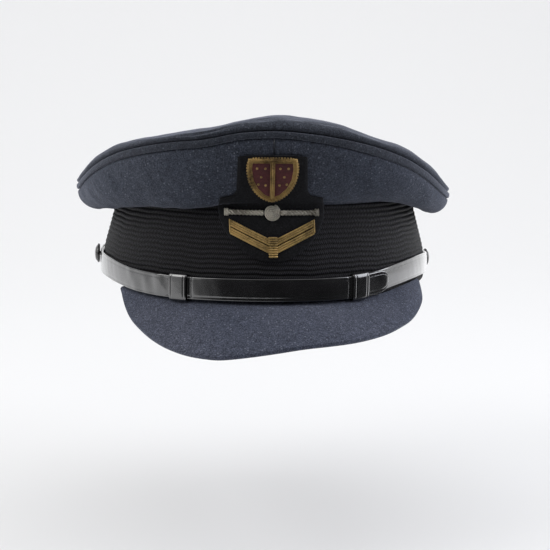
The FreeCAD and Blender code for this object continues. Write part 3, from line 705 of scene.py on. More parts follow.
# The peak cover uses this copy of the crown's wool with a lighter base colour, as painted light on
# its upward face.
WOOL_PEAK_LIT = wool("wool_peak_lit", (0.055, 0.061, 0.085), fleck=0.38, sheen=0.24)
FELT = wool("felt_black", (0.0075, 0.0075, 0.0085), fleck=0.03, sheen=0.12)
BUCKRAM = weave("buckram", (0.55, 0.52, 0.42), density=2.6, rough=0.9, depth=0.0002)
GOLD = metal("gold_bullion", (0.50, 0.345, 0.14), dark=(0.095, 0.066, 0.036), rough=0.36)
SILVER = metal("silver_bullion", (0.56, 0.53, 0.46), dark=(0.13, 0.118, 0.095), rough=0.34)
STEEL = metal("steel_wire", (0.55, 0.55, 0.57), dark=(0.28, 0.27, 0.26), rough=0.3)
BUTTON_METAL = metal("button_metal", (0.42, 0.41, 0.40), dark=(0.15, 0.14, 0.13), rough=0.35)
BUTTON_BLACK = metal("button_black", (0.018, 0.018, 0.019), dark=(0.008, 0.008, 0.008),
                     rough=0.26, metallic=0.0, coat=0.8)
VELVET = velvet()
FILM = clear_film()
PLASTIC = leather("spring_plastic", (0.62, 0.61, 0.57), rough=0.45, scale=300, depth=0.00003)
FOAM = leather("foam", (0.09, 0.09, 0.09), rough=0.9, scale=900, depth=0.0004)
THREAD_BLACK = weave("thread_black", (0.008, 0.008, 0.0085), density=9.0, rough=0.9,
                     depth=0.00004, sheen=0.0)
THREAD_GREY = weave("thread_grey", (0.115, 0.115, 0.12), density=9.0, rough=0.42, depth=0.00004)
THREAD_TAN = weave("thread_tan", (0.42, 0.30, 0.17), density=9.0, rough=0.6, depth=0.00004)


# ---------------------------------------------------------------- cloth held by its rim
def drape(points, row_step, col_step, slack, limit, frames=16):
    """How far each point of a disc-shaped sheet sags, in mm, softly limited.

    The cloth is simulated on every few rows and columns.
    """
    rows, cols = points.shape[:2]
    row_ids = np.arange(0, rows, row_step)
    col_ids = np.unique(np.append(np.arange(0, cols, col_step), cols - 1))
    coarse = points[row_ids][:, col_ids]
    height, width = coarse.shape[:2]
    verts, faces = disc_mesh(coarse)
    obj = mesh_obj("drape_tmp", verts, faces)
    pin = obj.vertex_groups.new(name="pin")
    for j, weight in ((0, 1.0), (1, 0.9), (2, 0.5)):
        pin.add([i * width + j for i in range(height)], weight, "REPLACE")
    cloth = obj.modifiers.new("Cloth", "CLOTH")
    settings = cloth.settings
    settings.quality = 6
    settings.mass = 0.0005
    settings.tension_stiffness = settings.compression_stiffness = 12
    settings.shear_stiffness = 4
    settings.bending_stiffness = 0.15
    settings.vertex_group_mass = "pin"
    settings.shrink_min = -slack
    cloth.collision_settings.use_collision = False
    cloth.collision_settings.use_self_collision = False
    cloth.point_cache.frame_start, cloth.point_cache.frame_end = 1, frames
    scene = bpy.context.scene
    for f in range(1, frames + 1):
        scene.frame_set(f)
    result = obj.evaluated_get(bpy.context.evaluated_depsgraph_get())
    moved = np.zeros(len(verts) * 3)
    result.data.vertices.foreach_get("co", moved)
    moved = moved.reshape(-1, 3)[:-1].reshape(height, width, 3) / MM
    scene.frame_set(1)
    mesh = obj.data
    bpy.data.objects.remove(obj, do_unlink=True)
    bpy.data.meshes.remove(mesh)
    shift = limit * np.tanh((moved - coarse) / limit)
    shift[:, 0] = 0
    shift = np.apply_along_axis(lambda line: np.interp(np.arange(cols), col_ids, line), 1, shift)
    shift = np.concatenate([shift, shift[:1]])
    row_ids = np.append(row_ids, rows)
    shift = np.apply_along_axis(lambda line: np.interp(np.arange(rows), row_ids, line), 0, shift)
    for _ in range(2):
        shift = 0.5 * shift + 0.25 * (np.roll(shift, 1, 0) + np.roll(shift, -1, 0))
    return shift


# ---------------------------------------------------------------- crown
CLOTH_T, SATIN_T = 1.2, 0.35
TOP_LINING_DROP = 5.2


def crown_top():
    angle = np.linspace(-180, 180, 400, endpoint=False)[:, None]
    # columns are closer together on the rolled rim
    inward = np.concatenate([np.linspace(0.0, 0.30, 46), np.linspace(0.30, 0.985, 51)[1:]])[None]
    points = top_pt(angle, inward)
    sag = drape(points, 5, 3, slack=0.004, limit=1.3)
    sag[..., 2] -= 0.85 * sag[..., 2].mean(0, keepdims=True)   # top_pt has the even sag already
    points = points + sag
    hollows = 0.55 * smooth_noise(points, 46, 3) * np.clip(inward * 5, 0, 1) * (1 - inward)
    ripples = (0.16 * smooth_noise(points, 13, 5) * np.clip(inward / 0.30, 0, 1) * (1 - inward))
    points[..., 2] += hollows + ripples
    # the edge turns in at the seam, then runs under to a lip
    turn_in = 1.5 * bell(inward * 60, 1.3)
    points[..., :2] *= (1 - turn_in / np.hypot(points[..., 0], points[..., 1]))[..., None]
    lip_x, lip_y = crown_ring(angle, 2.6)
    lip = np.stack([lip_x, lip_y, points[:, :1, 2] - 0.15], -1)
    verts, faces = disc_mesh(np.concatenate([lip, points], 1), drop=0.02)
    obj = thicken(mesh_obj("crown_top_cloth", verts, faces), CLOTH_T)
    finish(obj, WOOL_TOP_SHADED, "crown_top")


def quarter(node, start, end, seed):
    """One of the four side panels of the crown, between two seams."""
    angle = np.linspace(start, end, 190)[:, None]
    t = np.linspace(0.012, 0.994, 84)[None, :]
    flat = quarter_pt(angle, t)
    from_seam = np.minimum(angle - start, end - angle) * 1.85
    steps = np.linalg.norm(np.diff(flat, axis=1), axis=2)
    from_foot = np.concatenate([np.zeros((len(angle), 1)), np.cumsum(steps, 1)], 1)
    from_top = from_foot[:, -1:] - from_foot
    off = (1.15 * bell(from_seam, 0.75) + 0.85 * bell(from_top, 0.9)
           + 0.6 * bell(from_foot, 1.1))
    # soft bumps over the panel and pull lines near the seams
    inside = np.clip(from_foot / 6, 0, 1) * np.clip(from_top / 5, 0, 1)
    off = off - inside * (0.42 * smooth_noise(flat, 34, seed)
                          + 0.14 * smooth_noise(flat, 11, seed + 9))
    off = off - 0.22 * np.sin(from_seam * 0.9 + seed) * np.exp(-from_seam / 7.0) * inside
    foot = band_pt(angle, np.full_like(angle, 46.7), -1.3)
    points = np.concatenate([foot, quarter_pt(angle, t, off)], 1)
    finish(grid_obj(node + "_cloth", points, thick=CLOTH_T), WOOL, node)


def welt():
    angle = np.linspace(-179.985, 179.985, 720)[:, None]
    around = np.linspace(0, 2 * math.pi, 18, endpoint=False)[None, :]
    turn = np.radians(angle)
    high = cyclic(WELT_H, angle)
    wobble = 0.10 * np.sin(turn * 37) + 0.06 * np.sin(turn * 91 + 1)
    out = -0.45 + 1.18 * squared(np.cos(around), 0.72) * (1 + 0.05 * wobble) + 0.10 * wobble
    # the lower half reaches further, to cover the seam
    half = 0.5 * high - 0.02 + np.where(np.sin(around) < 0, 0.38, 0.0)
    z = (cyclic(SEAM_Z, angle) + 0.5 * high + half * squared(np.sin(around), 0.72)
         + 0.05 * wobble)
    x, y = crown_ring(angle, -out)
    obj = grid_obj("crown_welt_roll", np.stack([x, y, z], -1), close_cols=True, flip=True,
                   cap_ends=True)
    finish(obj, WOOL_TOP_SHADED, "crown_welt")


def lining_side():
    angle = np.linspace(-179.8, 179.8, 560)[:, None]
    t = np.linspace(0.0, 1.0, 40)[None, :]
    turn = np.radians(angle)
    folds = 0.42 * np.sin(turn * 52 + 0.8 * np.sin(turn * 5)) + 0.22 * np.sin(turn * 83 + 2)
    folds = folds * (0.25 + 0.9 * t) + 0.16 * np.sin(turn * 17 + t * 3)
    points = quarter_pt(angle, 0.06 + 0.80 * t, 3.15 + 3.0 * t + folds)
    obj = grid_obj("lining_side_satin", points, uv=uv_grid(angle * 1.8, t * 60), thick=-SATIN_T)
    finish(obj, LINING, "lining_side")


def lining_top():
    angle = np.linspace(-180, 180, 300, endpoint=False)[:, None]
    inward = np.linspace(0.0, 0.98, 60)[None, :]
    points = top_pt(angle, 0.30 + 0.70 * inward)
    points[..., :2] *= 0.95
    points[..., 2] -= TOP_LINING_DROP
    points = points + drape(points, 4, 3, slack=0.008, limit=1.2)
    turn = np.radians(angle)
    rays = 0.30 * np.sin(turn * 26 + 1.2 * np.sin(turn * 3)) * (1 - inward) ** 1.5
    points[..., 2] += rays - 0.35 * np.abs(smooth_noise(points, 24, 11)) * (1 - inward)
    verts, faces = disc_mesh(points)
    obj = thicken(mesh_obj("lining_top_satin", verts, faces, uv=verts[:, :2]), SATIN_T)
    finish(obj, LINING, "lining_top")


def sweat_shield():
    """Diamond of clear film under the top lining, with stitches round its edge."""
    u = np.linspace(-1, 1, 60)[:, None]
    v = np.linspace(-1, 1, 60)[None, :]
    x, y = 56.0 * 0.5 * (u + v), 74.0 * 0.5 * (u - v)
    part = np.hypot(x / 88.0, y / 99.0)
    angle = np.degrees(np.arctan2(x / 88.0, -y / 99.0))
    z = top_pt(angle, 0.30 + 0.70 * (1 - part))[..., 2] - 7.3
    z += 0.22 * np.sin(x * 0.09 + 1) * np.cos(y * 0.07)
    points = np.stack([x, y, z], -1)
    obj = grid_obj("sweat_shield_film", points, thick=0.25)
    finish(obj, FILM, "sweat_shield")
    edge = np.vstack([points[:, 0], points[-1, 1:], points[::-1, -1][1:],
                      points[0, ::-1][1:-1]])
    centre = edge.mean(0)
    seam = centre + (edge - centre) * 0.965
    seam = np.vstack([seam, seam[:1]])
    length = arc_length(seam)
    count = int(length[-1] / 3.0)
    stitches = Batch()
    for i in range(count):
        ends = [(i + part) * length[-1] / count for part in (0.12, 0.78)]
        path = resample(seam, length, np.linspace(*ends, 5))
        path[:, 2] -= 0.20 + hump(5, 0.14)
        stitches.tube(path, 0.16, 5)
    stitches.finish("sweat_shield_stitches", "lining", THREAD_BLACK)


# ---------------------------------------------------------------- band
BRAID_FOOT, BRAID_SPAN, RIBS = 0.6, 46.7, 19
SWEAT_FOOT, SWEAT_TOP, SWEAT_H = 2.7, 36.0, 33.3
SWEAT_OFF, SWEAT_T = -5.9, 0.85
BOW_Y, BOW_Z = BAND_Y - 6.6 - 2.7, 20.0


def braid():
    angle = np.linspace(-179.985, 179.985, 1200)[:, None]
    z = np.linspace(BRAID_FOOT, 47.3, 171)[None, :]
    pitch = BRAID_SPAN / RIBS
    turn = np.radians(angle)
    wave = 0.30 * np.sin(turn * 11) + 0.22 * np.sin(turn * 29 + 2) + 0.10 * np.sin(turn * 71)
    up = z - BRAID_FOOT
    phase = (up + wave * np.sin(np.pi * up / BRAID_SPAN)) / pitch
    rib = np.abs(np.sin(np.pi * phase)) ** 0.70
    # the yarn crosses each rib obliquely and reverses from rib to rib
    zigzag = np.abs((phase % 2.0) - 1.0)
    yarn = np.sin(turn * 96.0 * 2.4 + zigzag * 5.5)
    off = -0.74 + 0.68 * rib + 0.085 * yarn * rib + 0.05 * np.sin(turn * 7 + z * 0.1)
    off = np.where(z > 46.6, off - 0.25, off)           # tucked in at the top edge
    off = off - 0.22 * bell(180.0 - np.abs(angle), 0.32)    # join at the back
    obj = grid_obj("mohair_braid_ribbed", band_pt(angle, z, off),
                   uv=uv_grid(turn * 95.0, BRAID_FOOT + phase * pitch), thick=0.5)
    finish(obj, MOHAIR, "mohair_braid")


def foundation():
    angle = np.linspace(-180, 180, 300, endpoint=False)[:, None]
    z = np.linspace(0.0, 46.6, 30)[None, :]
    obj = grid_obj("band_foundation_buckram", band_pt(angle, z, -1.45), close_rows=True,
                   uv=uv_grid(np.radians(angle) * 95.0, z), thick=1.1)
    finish(obj, BUCKRAM, "band_foundation")


def sweat_pt(angle, z, off=0.0):
    """Point on the sweatband's leather, which waves more towards its top."""
    turn = np.radians(angle)
    share = (z - SWEAT_FOOT) / SWEAT_H
    wave = 0.55 * np.sin(turn * 9 + 0.7) + 0.30 * np.sin(turn * 17 + 2.1) + 0.2 * np.sin(turn * 31)
    return band_pt(angle, z + 0.35 * np.sin(turn * 13) * share,
                   SWEAT_OFF + 0.35 * wave * share ** 1.6 + off)


def sweatband():
    angle = np.linspace(-179.6, 179.6, 520)[:, None]
    z = np.linspace(SWEAT_FOOT, SWEAT_TOP, 46)[None, :]
    obj = grid_obj("sweatband_leather", sweat_pt(angle, z),
                   uv=uv_grid(np.radians(angle) * 90.0, z), thick=SWEAT_T)
    bevel = obj.modifiers.new("Edge", "BEVEL")
    bevel.width, bevel.segments, bevel.limit_method = 0.25 * MM, 2, "ANGLE"
    finish(obj, SWEAT, "sweatband")

    stitches = Batch()
    for row_z, pitch in ((4.7, 2.4), (34.3, 2.8)):
        count = int(2 * math.pi * 90.0 / pitch)
        for i in range(count):
            start = -179 + 358.0 * i / count
            angle = np.linspace(start, start + 358.0 / count * 0.66, 4)
            stitches.tube(sweat_pt(angle, row_z, -SWEAT_T - 0.10 - hump(4, 0.10)), 0.17, 5)
    stitches.finish("sweatband_stitches", "sweat_leather", THREAD_TAN)

    # crossed stitches over the gap at the back
    stitches = Batch()
    for i in range(15):
        low = 5.5 + i * 2.0
        for side in (1, -1):
            angle = np.array([180 - 1.15 * side, 180 + 0.9 * side])
            start, end = band_pt(angle, np.array([low, low + 1.0]), -6.95)
            middle = 0.5 * (start + end) + np.array([0, -0.1, 0])
            stitches.tube([start, middle, end], 0.17, 5)
    stitches.finish("sweatband_back_seam", "sweat_leather", THREAD_TAN)


def reed():
    """Cord along the sweatband's foot."""
    angle = np.linspace(-179.3, 179.3, 900)
    cord = Batch()
    cord.tube(band_pt(angle, 1.3, -6.0), 0.82 + 0.06 * np.sin(np.radians(angle) * 420), 10)
    cord.finish("sweatband_reed_cord", "sweat_leather", SWEAT, "sweatband_reed")


def bow():
    """Flat ribbon bow inside the back: two layers of loop each side of a knot."""
    ribbon = Batch()
    u = np.linspace(0, 1, 26)[:, None]
    around = np.linspace(0, 2 * math.pi, 16, endpoint=False)[None, :]
    swell = np.sin(np.minimum(1, u * 1.04) * math.pi * 0.60) ** 1.2
    round_end = np.sqrt(np.clip(1 - np.clip((u - 0.86) / 0.14, 0, 1) ** 2, 0.02, 1))
    for side in (-1, 1):
        for layer, size, twist in ((0, 1.0, 0.0), (1, 0.86, 0.35)):
            half = (0.75 + 2.6 * swell) * round_end * size
            x = side * (1.2 + 10.9 * size * u) + 0 * around
            y = (BOW_Y + 0.34 * np.cos(around) * (0.5 + 0.5 * np.sin(u * math.pi))
                 + 0.12 * np.sin(around * 3 + u * 7 + twist) * np.sin(u * 3) - 0.18 * layer)
            z = BOW_Z + half * np.sin(around) + 0.25 * np.sin(u * 4) - 0.6 * layer
            rings = np.stack([x, y, z], -1)
            tips = (rings[0].mean(0), rings[-1].mean(0))
            ribbon.add(*tipped_tube(rings, tips, flip=side > 0))
    ribbon.ball((0, BOW_Y - 0.25, BOW_Z), 1.9, seg=18, rings=12, squash=0.55)
    uv = np.array(ribbon.verts)[:, [0, 2]]
    obj = mesh_obj("sweatband_bow_ribbon", ribbon.verts, ribbon.faces, uv)
    finish(obj, RIBBON, "sweatband_bow")


def forehead_pad():
    angle = np.linspace(-40, 40, 110)[:, None]
    around = np.linspace(0, 2 * math.pi, 36, endpoint=False)[None, :]
    from_end = np.minimum(angle + 40, 40 - angle) * 1.6
    taper = np.sqrt(np.clip(1 - (1 - np.clip(from_end / 3.0, 0, 1)) ** 2, 0.02, 1))
    z = 20.0 + 12.9 * (0.8 + 0.2 * taper) * squared(np.sin(around), 0.35)
    off = (-4.15 + 0.95 * taper * squared(np.cos(around), 0.55)
           + 0.08 * np.sin(angle * 0.9 + z * 0.4))
    obj = grid_obj("forehead_pad_foam", band_pt(angle, z, off), close_cols=True, flip=True,
                   cap_ends=True)
    finish(obj, FOAM, "forehead_pad")


# ---------------------------------------------------------------- peak
PEAK_TOP, PEAK_UNDER = 0.25, 2.85       # depths of the cover and the underside
UNDER_SHRINK = 0.2                      # the underside is this much shorter
TOOLED_IN = 2.6                         # distance of the tooled, stitched line from the edge


def peak_cover():
    """Cloth over the peak: flanges under the band, the top, and a rim rolled underneath."""
    angle = np.linspace(-59.6, 62.6, 320)[:, None]
    length = peak_length(angle)
    flat = np.linspace(0.0, 1.0, 64)[None, :] + 0 * length
    roll = np.radians(np.linspace(0, 158, 15)[1:])[None, :]
    share = np.hstack([flat, 1 + 0.62 * np.sin(roll) / length])
    depth = PEAK_TOP + np.hstack([0 * flat, 1.32 * (1 - np.cos(roll)) + 0 * length])
    smooth = peak_pt(angle, share, depth)
    bumps = 0.22 * smooth_noise(smooth, 30, 21) + 0.08 * smooth_noise(smooth, 9, 22)
    col = np.arange(share.shape[1])[None, :]
    fade = np.clip(col / 6.0, 0, 1) * np.clip((63 - col) / 8.0, 0, 1)
    points = peak_pt(angle, share, depth - bumps * fade)
    below = np.minimum(points[:, :1, 2] + 0.12, 0.0)
    flange = [band_pt(angle, -0.12 + blend * below, off)
              for off, blend in ((-3.2, 0.0), (-2.0, 0.0), (-1.0, 0.1), (-0.35, 0.45))]
    obj = grid_obj("peak_cloth_cover", np.concatenate(flange + [points], 1), flip=True, thick=0.85)
    finish(obj, WOOL_PEAK_LIT, "peak_cloth")


def peak_underside():
    """Leather with a tooled line, a bead on the edge and a row of stitches in the line."""
    angle = np.linspace(-56.5, 59.5, 320)[:, None]
    share = np.linspace(0, 1, 60)[None, :]
    from_edge = (1 - share) * peak_length(angle, UNDER_SHRINK)
    off = PEAK_UNDER - 0.35 * bell(from_edge, 0.5) - 0.22 * bell(from_edge - TOOLED_IN, 0.35)
    obj = grid_obj("peak_underside_leather", peak_pt(angle, share, off, UNDER_SHRINK), thick=0.55)
    finish(obj, UNDER, "peak_underside")

    bead = Batch()
    angle = np.linspace(-58.5, 61.5, 700)
    bead.tube(peak_pt(angle, 1.0 - 0.75 / np.maximum(1.2, peak_length(angle)), 2.95), 0.32, 8)
    bead.finish("peak_edge_bead", "underside_leather", UNDER)

    stitches = Batch()
    pitch = 109.0 / 150
    for i in range(150):
        start = -53 + pitch * i
        angle = np.linspace(start, start + pitch * 0.62, 4)
        share = 1 - TOOLED_IN / peak_length(angle, UNDER_SHRINK)
        stitches.tube(peak_pt(angle, share, 2.76 + hump(4, 0.10), UNDER_SHRINK), 0.16, 5)
    stitches.finish("peak_underside_stitches", "underside_leather", THREAD_BLACK)


# ---------------------------------------------------------------- chin strap
def strap_section(width, edge=0.42, dish=0.14, groove=0.13):
    """Closed section of the strap: across it, and out from its back face."""
    flat = width / 2 - edge
    u = np.linspace(-1, 1, 21)
    face = (STRAP_T + dish * (1 - u * u)
            - groove * bell(np.abs(u) * (width / 2) - (width / 2 - 1.15), 0.28))
    corner = np.radians([60, 30, 0, -30, -60])
    corner_x = flat + edge * np.cos(corner)
    corner_out = STRAP_T / 2 + STRAP_T / 2 * np.sin(corner)
    across = np.hstack([u * flat, corner_x, u[::-1] * flat, -corner_x[::-1]])
    out = np.hstack([face, corner_out, 0 * u, corner_out[::-1]])
    return across[None, :], out[None, :]


def outer_lumps(angle, across):
    """Dips under the keepers, a swell and buckled leather near keeper_left, a raised +X end."""
    dips = 0.45 * bell(angle + 26.9, 0.55) + 0.45 * bell(angle - 24.1, 0.55)
    where = np.clip((-34.5 - angle) / 1.5, 0, 1) * np.clip((angle + 58.0) / 12.0, 0, 1)
    skew = angle + 0.34 * across
    buckle = where * (0.22 * np.sin(skew * 0.66 + 0.6) * np.sin(skew * 0.29 + 0.4)
                      + 0.07 * np.sin(skew * 1.31 - 0.5 * across + 2.0))
    end_lift = 1.50 * np.clip((angle - 31.5) / 7.5, 0, 1) ** 1.5
    return 0.42 * bell(angle + 38.6, 2.6) + buckle + end_lift - dips


def strap(half, start, end, offsets, width, rounding, lumps=None):
    """One half of the strap; rounding is the length of each rounded end."""
    u = np.linspace(0, 1, 620)
    spread = 0.55 * u + 0.45 * (0.5 - 0.5 * np.cos(np.pi * u))
    angle = (start + (end - start) * spread)[:, None]
    size = np.ones_like(angle)
    for from_end, length in zip(((angle - start) * 1.68, (end - angle) * 1.68), rounding):
        inside = 1 - (1 - np.clip(from_end / length, 0, 1)) ** 2.4
        size = np.minimum(size, np.sqrt(np.clip(inside, 0.0008, 1)))
    across, out = strap_section(width)
    turn = np.radians(angle)
    relief = 0.020 * np.sin(turn * 40) + 0.010 * np.sin(turn * 97 + across * 0.4)
    if lumps:
        relief = relief + lumps(angle, across)
    off = eased(offsets, angle) + out * (0.55 + 0.45 * size) + relief * (out > 0.2)
    points = band_pt(angle, spline(STRAP_Z, angle) + across * size, off)
    obj = grid_obj(half + "_leather", points, close_cols=True, cap_ends=True)
    finish(obj, PATENT, half, half + "_half")


def keeper(node, start, end, body):
    """Leather loop round the strap, with a row of stitches near each edge."""
    angle = np.linspace(start, end, 40)[:, None]
    around = np.linspace(0, 2 * math.pi, 72, endpoint=False)[None, :]
    cosine = np.cos(around)
    from_edge = np.minimum(angle - start, end - angle) * 1.7
    edge = 0.32 * bell(from_edge, 0.35)
    low, high = 0.30, STRAP_OUT + STRAP_T + 0.85
    out = (0.5 * (low + high) + 0.5 * (high - low) * squared(cosine, 0.42)
           - edge * np.sign(cosine) * 0.6)
    half = STRAP_W / 2 + 0.62 - 0.5 * edge
    z = spline(STRAP_Z, angle) + half * squared(np.sin(around), 0.38)
    groove = bell(from_edge - 1.36, 0.36) * 0.16 * np.clip(cosine, 0, 1) ** 0.5
    obj = grid_obj(node + "_loop", band_pt(angle, z, out - groove), close_cols=True, flip=True)
    finish(thicken(obj, 0.6), PATENT, node, body)
    stitches = Batch()
    for angle in (start + 0.8, end - 0.8):
        for i in range(7):
            low_z = spline(STRAP_Z, angle) - 5.0 + i * 1.47
            z = np.linspace(low_z, low_z + 1.02, 5)
            stitches.tube(band_pt(angle, z, high - 0.04 + hump(5, 0.20)), 0.29, 7)
    stitches.finish(node + "_loop_stitches", "patent_leather", THREAD_GREY, body=body)


def button(side, name, face, seg=96):
    """Hollow domed button, turned about the line through both posts."""
    radius = BUTTON_R
    # (distance along the post, radius): rim, dome, then the hollow inside
    profile = [(face - 0.12, radius - 1.05), (face - 0.25, radius - 0.75),
               (face - 0.22, radius - 0.35), (face + 0.05, radius - 0.08), (face + 0.35, radius),
               (face + 0.68, radius - 0.02), (face + 0.92, radius - 0.20),
               (face + 0.98, radius - 0.45), (face + 0.90, radius - 0.66),
               (face + 0.92, radius - 0.82)]
    for i in range(1, 14):
        turn = i / 14.0 * math.pi / 2
        profile.append((face + 0.92 + 1.66 * math.sin(turn) ** 1.1,
                        (radius - 0.82) * math.cos(turn) ** 0.92))
    profile += [(face + 2.58, 0.0), (face + 2.1, 0.0), (face + 1.95, radius * 0.32),
                (face + 1.6, radius * 0.58), (face + 0.9, radius - 1.25),
                (face + 0.1, radius - 1.05), (face - 0.12, radius - 1.05)]
    post = Vector(POSTS[side])
    axis = (Vector(POSTS[1]) - Vector(POSTS[-1])).normalized() * side
    across = axis.cross(Vector((0, 0, 1))).normalized()
    other = axis.cross(across).normalized()
    verts = []
    for i in range(seg):
        turn = 2 * math.pi * i / seg
        spoke = across * math.cos(turn) + other * math.sin(turn)
        verts += [tuple(post + axis * along + spoke * r) for along, r in profile]
    faces = grid_faces(seg, len(profile), close_rows=True)
    obj = mesh_obj(name + "_dome", verts, faces)
    mesh = bmesh.new()
    mesh.from_mesh(obj.data)
    bmesh.ops.remove_doubles(mesh, verts=mesh.verts, dist=1e-6)
    bmesh.ops.recalc_face_normals(mesh, faces=mesh.faces)
    mesh.to_mesh(obj.data)
    mesh.free()
    finish(obj, BUTTON_BLACK, name + "_face", name)


# ---------------------------------------------------------------- badge (a made-up device)
# half outlines from top to bottom: (x, z) in the badge's upright frame
PATCH = [(0, 73.2), (10.0, 73.2), (16.8, 72.4), (17.6, 55.0), (19.5, 52.6), (25.6, 51.4),
         (26.4, 47.0), (26.0, 41.0), (23.5, 34.5), (18.0, 27.5), (10.5, 22.0), (5.0, 20.0),
         (0, 19.6)]
SHIELD = [(0, 71.6), (12.0, 71.6), (12.5, 66.0), (11.6, 60.0), (9.0, 55.0), (5.0, 51.2),
          (0, 49.0)]
FIELD = [(10.1, 69.6), (10.5, 66.0), (9.7, 60.8), (7.6, 56.5), (4.2, 53.2), (1.1, 51.8)]
FIELD_Z = (51.9, 69.5)                  # foot and top of the velvet
SPANGLES = [(3.6, 66.6), (7.6, 66.6), (5.6, 62.4), (3.4, 58.2), (6.9, 58.6)]
PATCH_MID_Z, BAR_Z = 47.0, 44.0

# the cap's face sampled once, for the badge to lie on
FACE_X = np.linspace(-34, 34, 137)
FACE_Z = np.linspace(12, 80, 137)
FACE_Y = front_y(FACE_X[:, None], FACE_Z[None, :])


def cell_of(value, grid):
    """Index of the grid cell a value lies in, and how far through it."""
    place = np.clip((value - grid[0]) / (grid[1] - grid[0]), 0, len(grid) - 1.001)
    index = place.astype(int)
    return index, place - index


def badge_pt(x, z, off):
    """Point off mm in front of the cap's face, from the badge's upright frame."""
    x, z = np.broadcast_arrays(np.asarray(x, float), np.asarray(z, float))
    x = x + BADGE_X + BADGE_TILT * (z - BADGE_FOOT)
    i, u = cell_of(x, FACE_X)
    j, v = cell_of(z, FACE_Z)
    face = (FACE_Y[i, j] * (1 - u) * (1 - v) + FACE_Y[i + 1, j] * u * (1 - v)
            + FACE_Y[i, j + 1] * (1 - u) * v + FACE_Y[i + 1, j + 1] * u * v)
    return np.stack([x, -(face + off), z + 0.0 * x], -1)


def half_width(outline, z):
    x, heights = np.array(outline[::-1], float).T
    return np.interp(z, heights + np.arange(len(x)) * 1e-6, x)


def normals(path, tangent):
    tangent = tangent / np.linalg.norm(tangent, axis=1)[:, None]
    return np.stack([tangent[:, 1], -tangent[:, 0]], -1)


def shield_line(inset, step=0.25, overlap=0):
    """The whole shield outline moved inwards, evenly spaced, corners softened."""
    points = np.array(SHIELD + [(-x, z) for x, z in reversed(SHIELD) if x] + SHIELD[:1], float)
    length = arc_length(points)
    path = resample(points, length, np.arange(0, length[-1], step))
    for _ in range(6):
        path = 0.5 * path + 0.25 * (np.roll(path, 1, 0) + np.roll(path, -1, 0))
    inward = normals(path, np.roll(path, -2, 0) - np.roll(path, 2, 0))
    if ((path - path.mean(0)) * inward).sum() > 0:
        inward = -inward
    path = path + inward * inset
    return np.vstack([path, path[:overlap]])


def badge_cloth(name, node, material, off, thick, scale=1.0, narrow=1.0):
    low, high = [PATCH_MID_Z + (z - PATCH_MID_Z) * scale for z in (19.7, 73.1)]
    z = np.linspace(low, high, 130)[:, None]
    u = np.linspace(-1, 1, 90)[None, :]
    width = half_width(PATCH, PATCH_MID_Z + (z - PATCH_MID_Z) / scale) * narrow
    x = u * np.maximum(width, 0.5)
    z = z + 0 * x
    from_edge = np.minimum(np.minimum((1 - np.abs(u)) * width, z - low), high - z)
    off = (off - 0.55 * bell(from_edge, 0.9)
           + 0.06 * smooth_noise(np.stack([x, 0 * x, z], -1), 9, 31))
    obj = grid_obj(name, badge_pt(x, z, off), uv=uv_grid(x, z), flip=True, thick=thick)
    finish(obj, material, node)


def badge_shield():
    """Two-strand rope, two inner cords, three upright cords and a row of beads."""
    gold = Batch()
    line = shield_line(0.75, overlap=8)
    across = normals(line, np.gradient(line, axis=0))
    for phase in (0, math.pi):
        wind = arc_length(line) * 2 * math.pi / 2.1 + phase
        x, z = (line + across * (0.36 * np.cos(wind))[:, None]).T
        gold.cord(badge_pt(x, z, 2.28 + 0.32 * np.sin(wind)), 0.42, depth=0.2)
    for inset, radius in ((1.62, 0.34), (2.22, 0.26)):
        x, z = shield_line(inset, overlap=6).T
        gold.cord(badge_pt(x, z, 2.25), radius, pitch=0.45, depth=0.25)
    for x, radius, off in ((0, 0.62, 2.55), (-0.88, 0.32, 2.25), (0.88, 0.32, 2.25)):
        gold.cord(badge_pt(x, np.linspace(51.0, 69.8, 80), off), radius, sides=9)
    for x, z in shield_line(-0.15, step=1.45):
        gold.ball(badge_pt(x, z, 2.1), 0.50, seg=9, rings=6)
    gold.finish("badge_shield_bullion", "gold_bullion", GOLD, "badge_shield")


def badge_velvet():
    """A padded velvet field each side of the upright cords, with spangles."""
    velvet_pads = Batch()
    rows, cols = 60, 34
    low, high = FIELD_Z
    z = np.linspace(low, high, rows)[:, None]
    u = np.linspace(0, 1, cols)[None, :]
    width = half_width(FIELD, z) - 1.05
    x = 1.05 + u * np.maximum(width, 0.3)
    from_edge = np.minimum(np.minimum(u * width, (1 - u) * width), np.minimum(z - low, high - z))
    rim = ([i * cols for i in range(rows)] + [(rows - 1) * cols + j for j in range(1, cols)]
           + [i * cols + cols - 1 for i in range(rows - 2, -1, -1)] + list(range(cols - 2, 0, -1)))
    back = rows * cols
    for side in (1, -1):
        front_pts = badge_pt(side * x, z, 1.95 + 0.62 * (1 - np.exp(-from_edge / 1.1)))
        back_pts = badge_pt(side * x, z, 1.78)
        front = grid_faces(rows, cols, flip=side > 0)
        faces = front.tolist() + (front[:, ::-1] + back).tolist()
        for i, j in zip(rim, rim[1:] + rim[:1]):
            wall = (i, j, j + back, i + back)
            faces.append(wall if side < 0 else wall[::-1])
        verts = np.vstack([front_pts.reshape(-1, 3), back_pts.reshape(-1, 3)])
        velvet_pads.add(verts, faces)
    velvet_pads.finish("badge_velvet_pads", "velvet_red", VELVET, "badge_velvet")
    spangles = Batch()
    for side in (1, -1):
        for x, z in SPANGLES:
            spangles.ball(badge_pt(side * x, z, 2.68), 0.62, seg=14, rings=8, squash=0.42)
    spangles.finish("badge_spangles", "gold_bullion", GOLD)


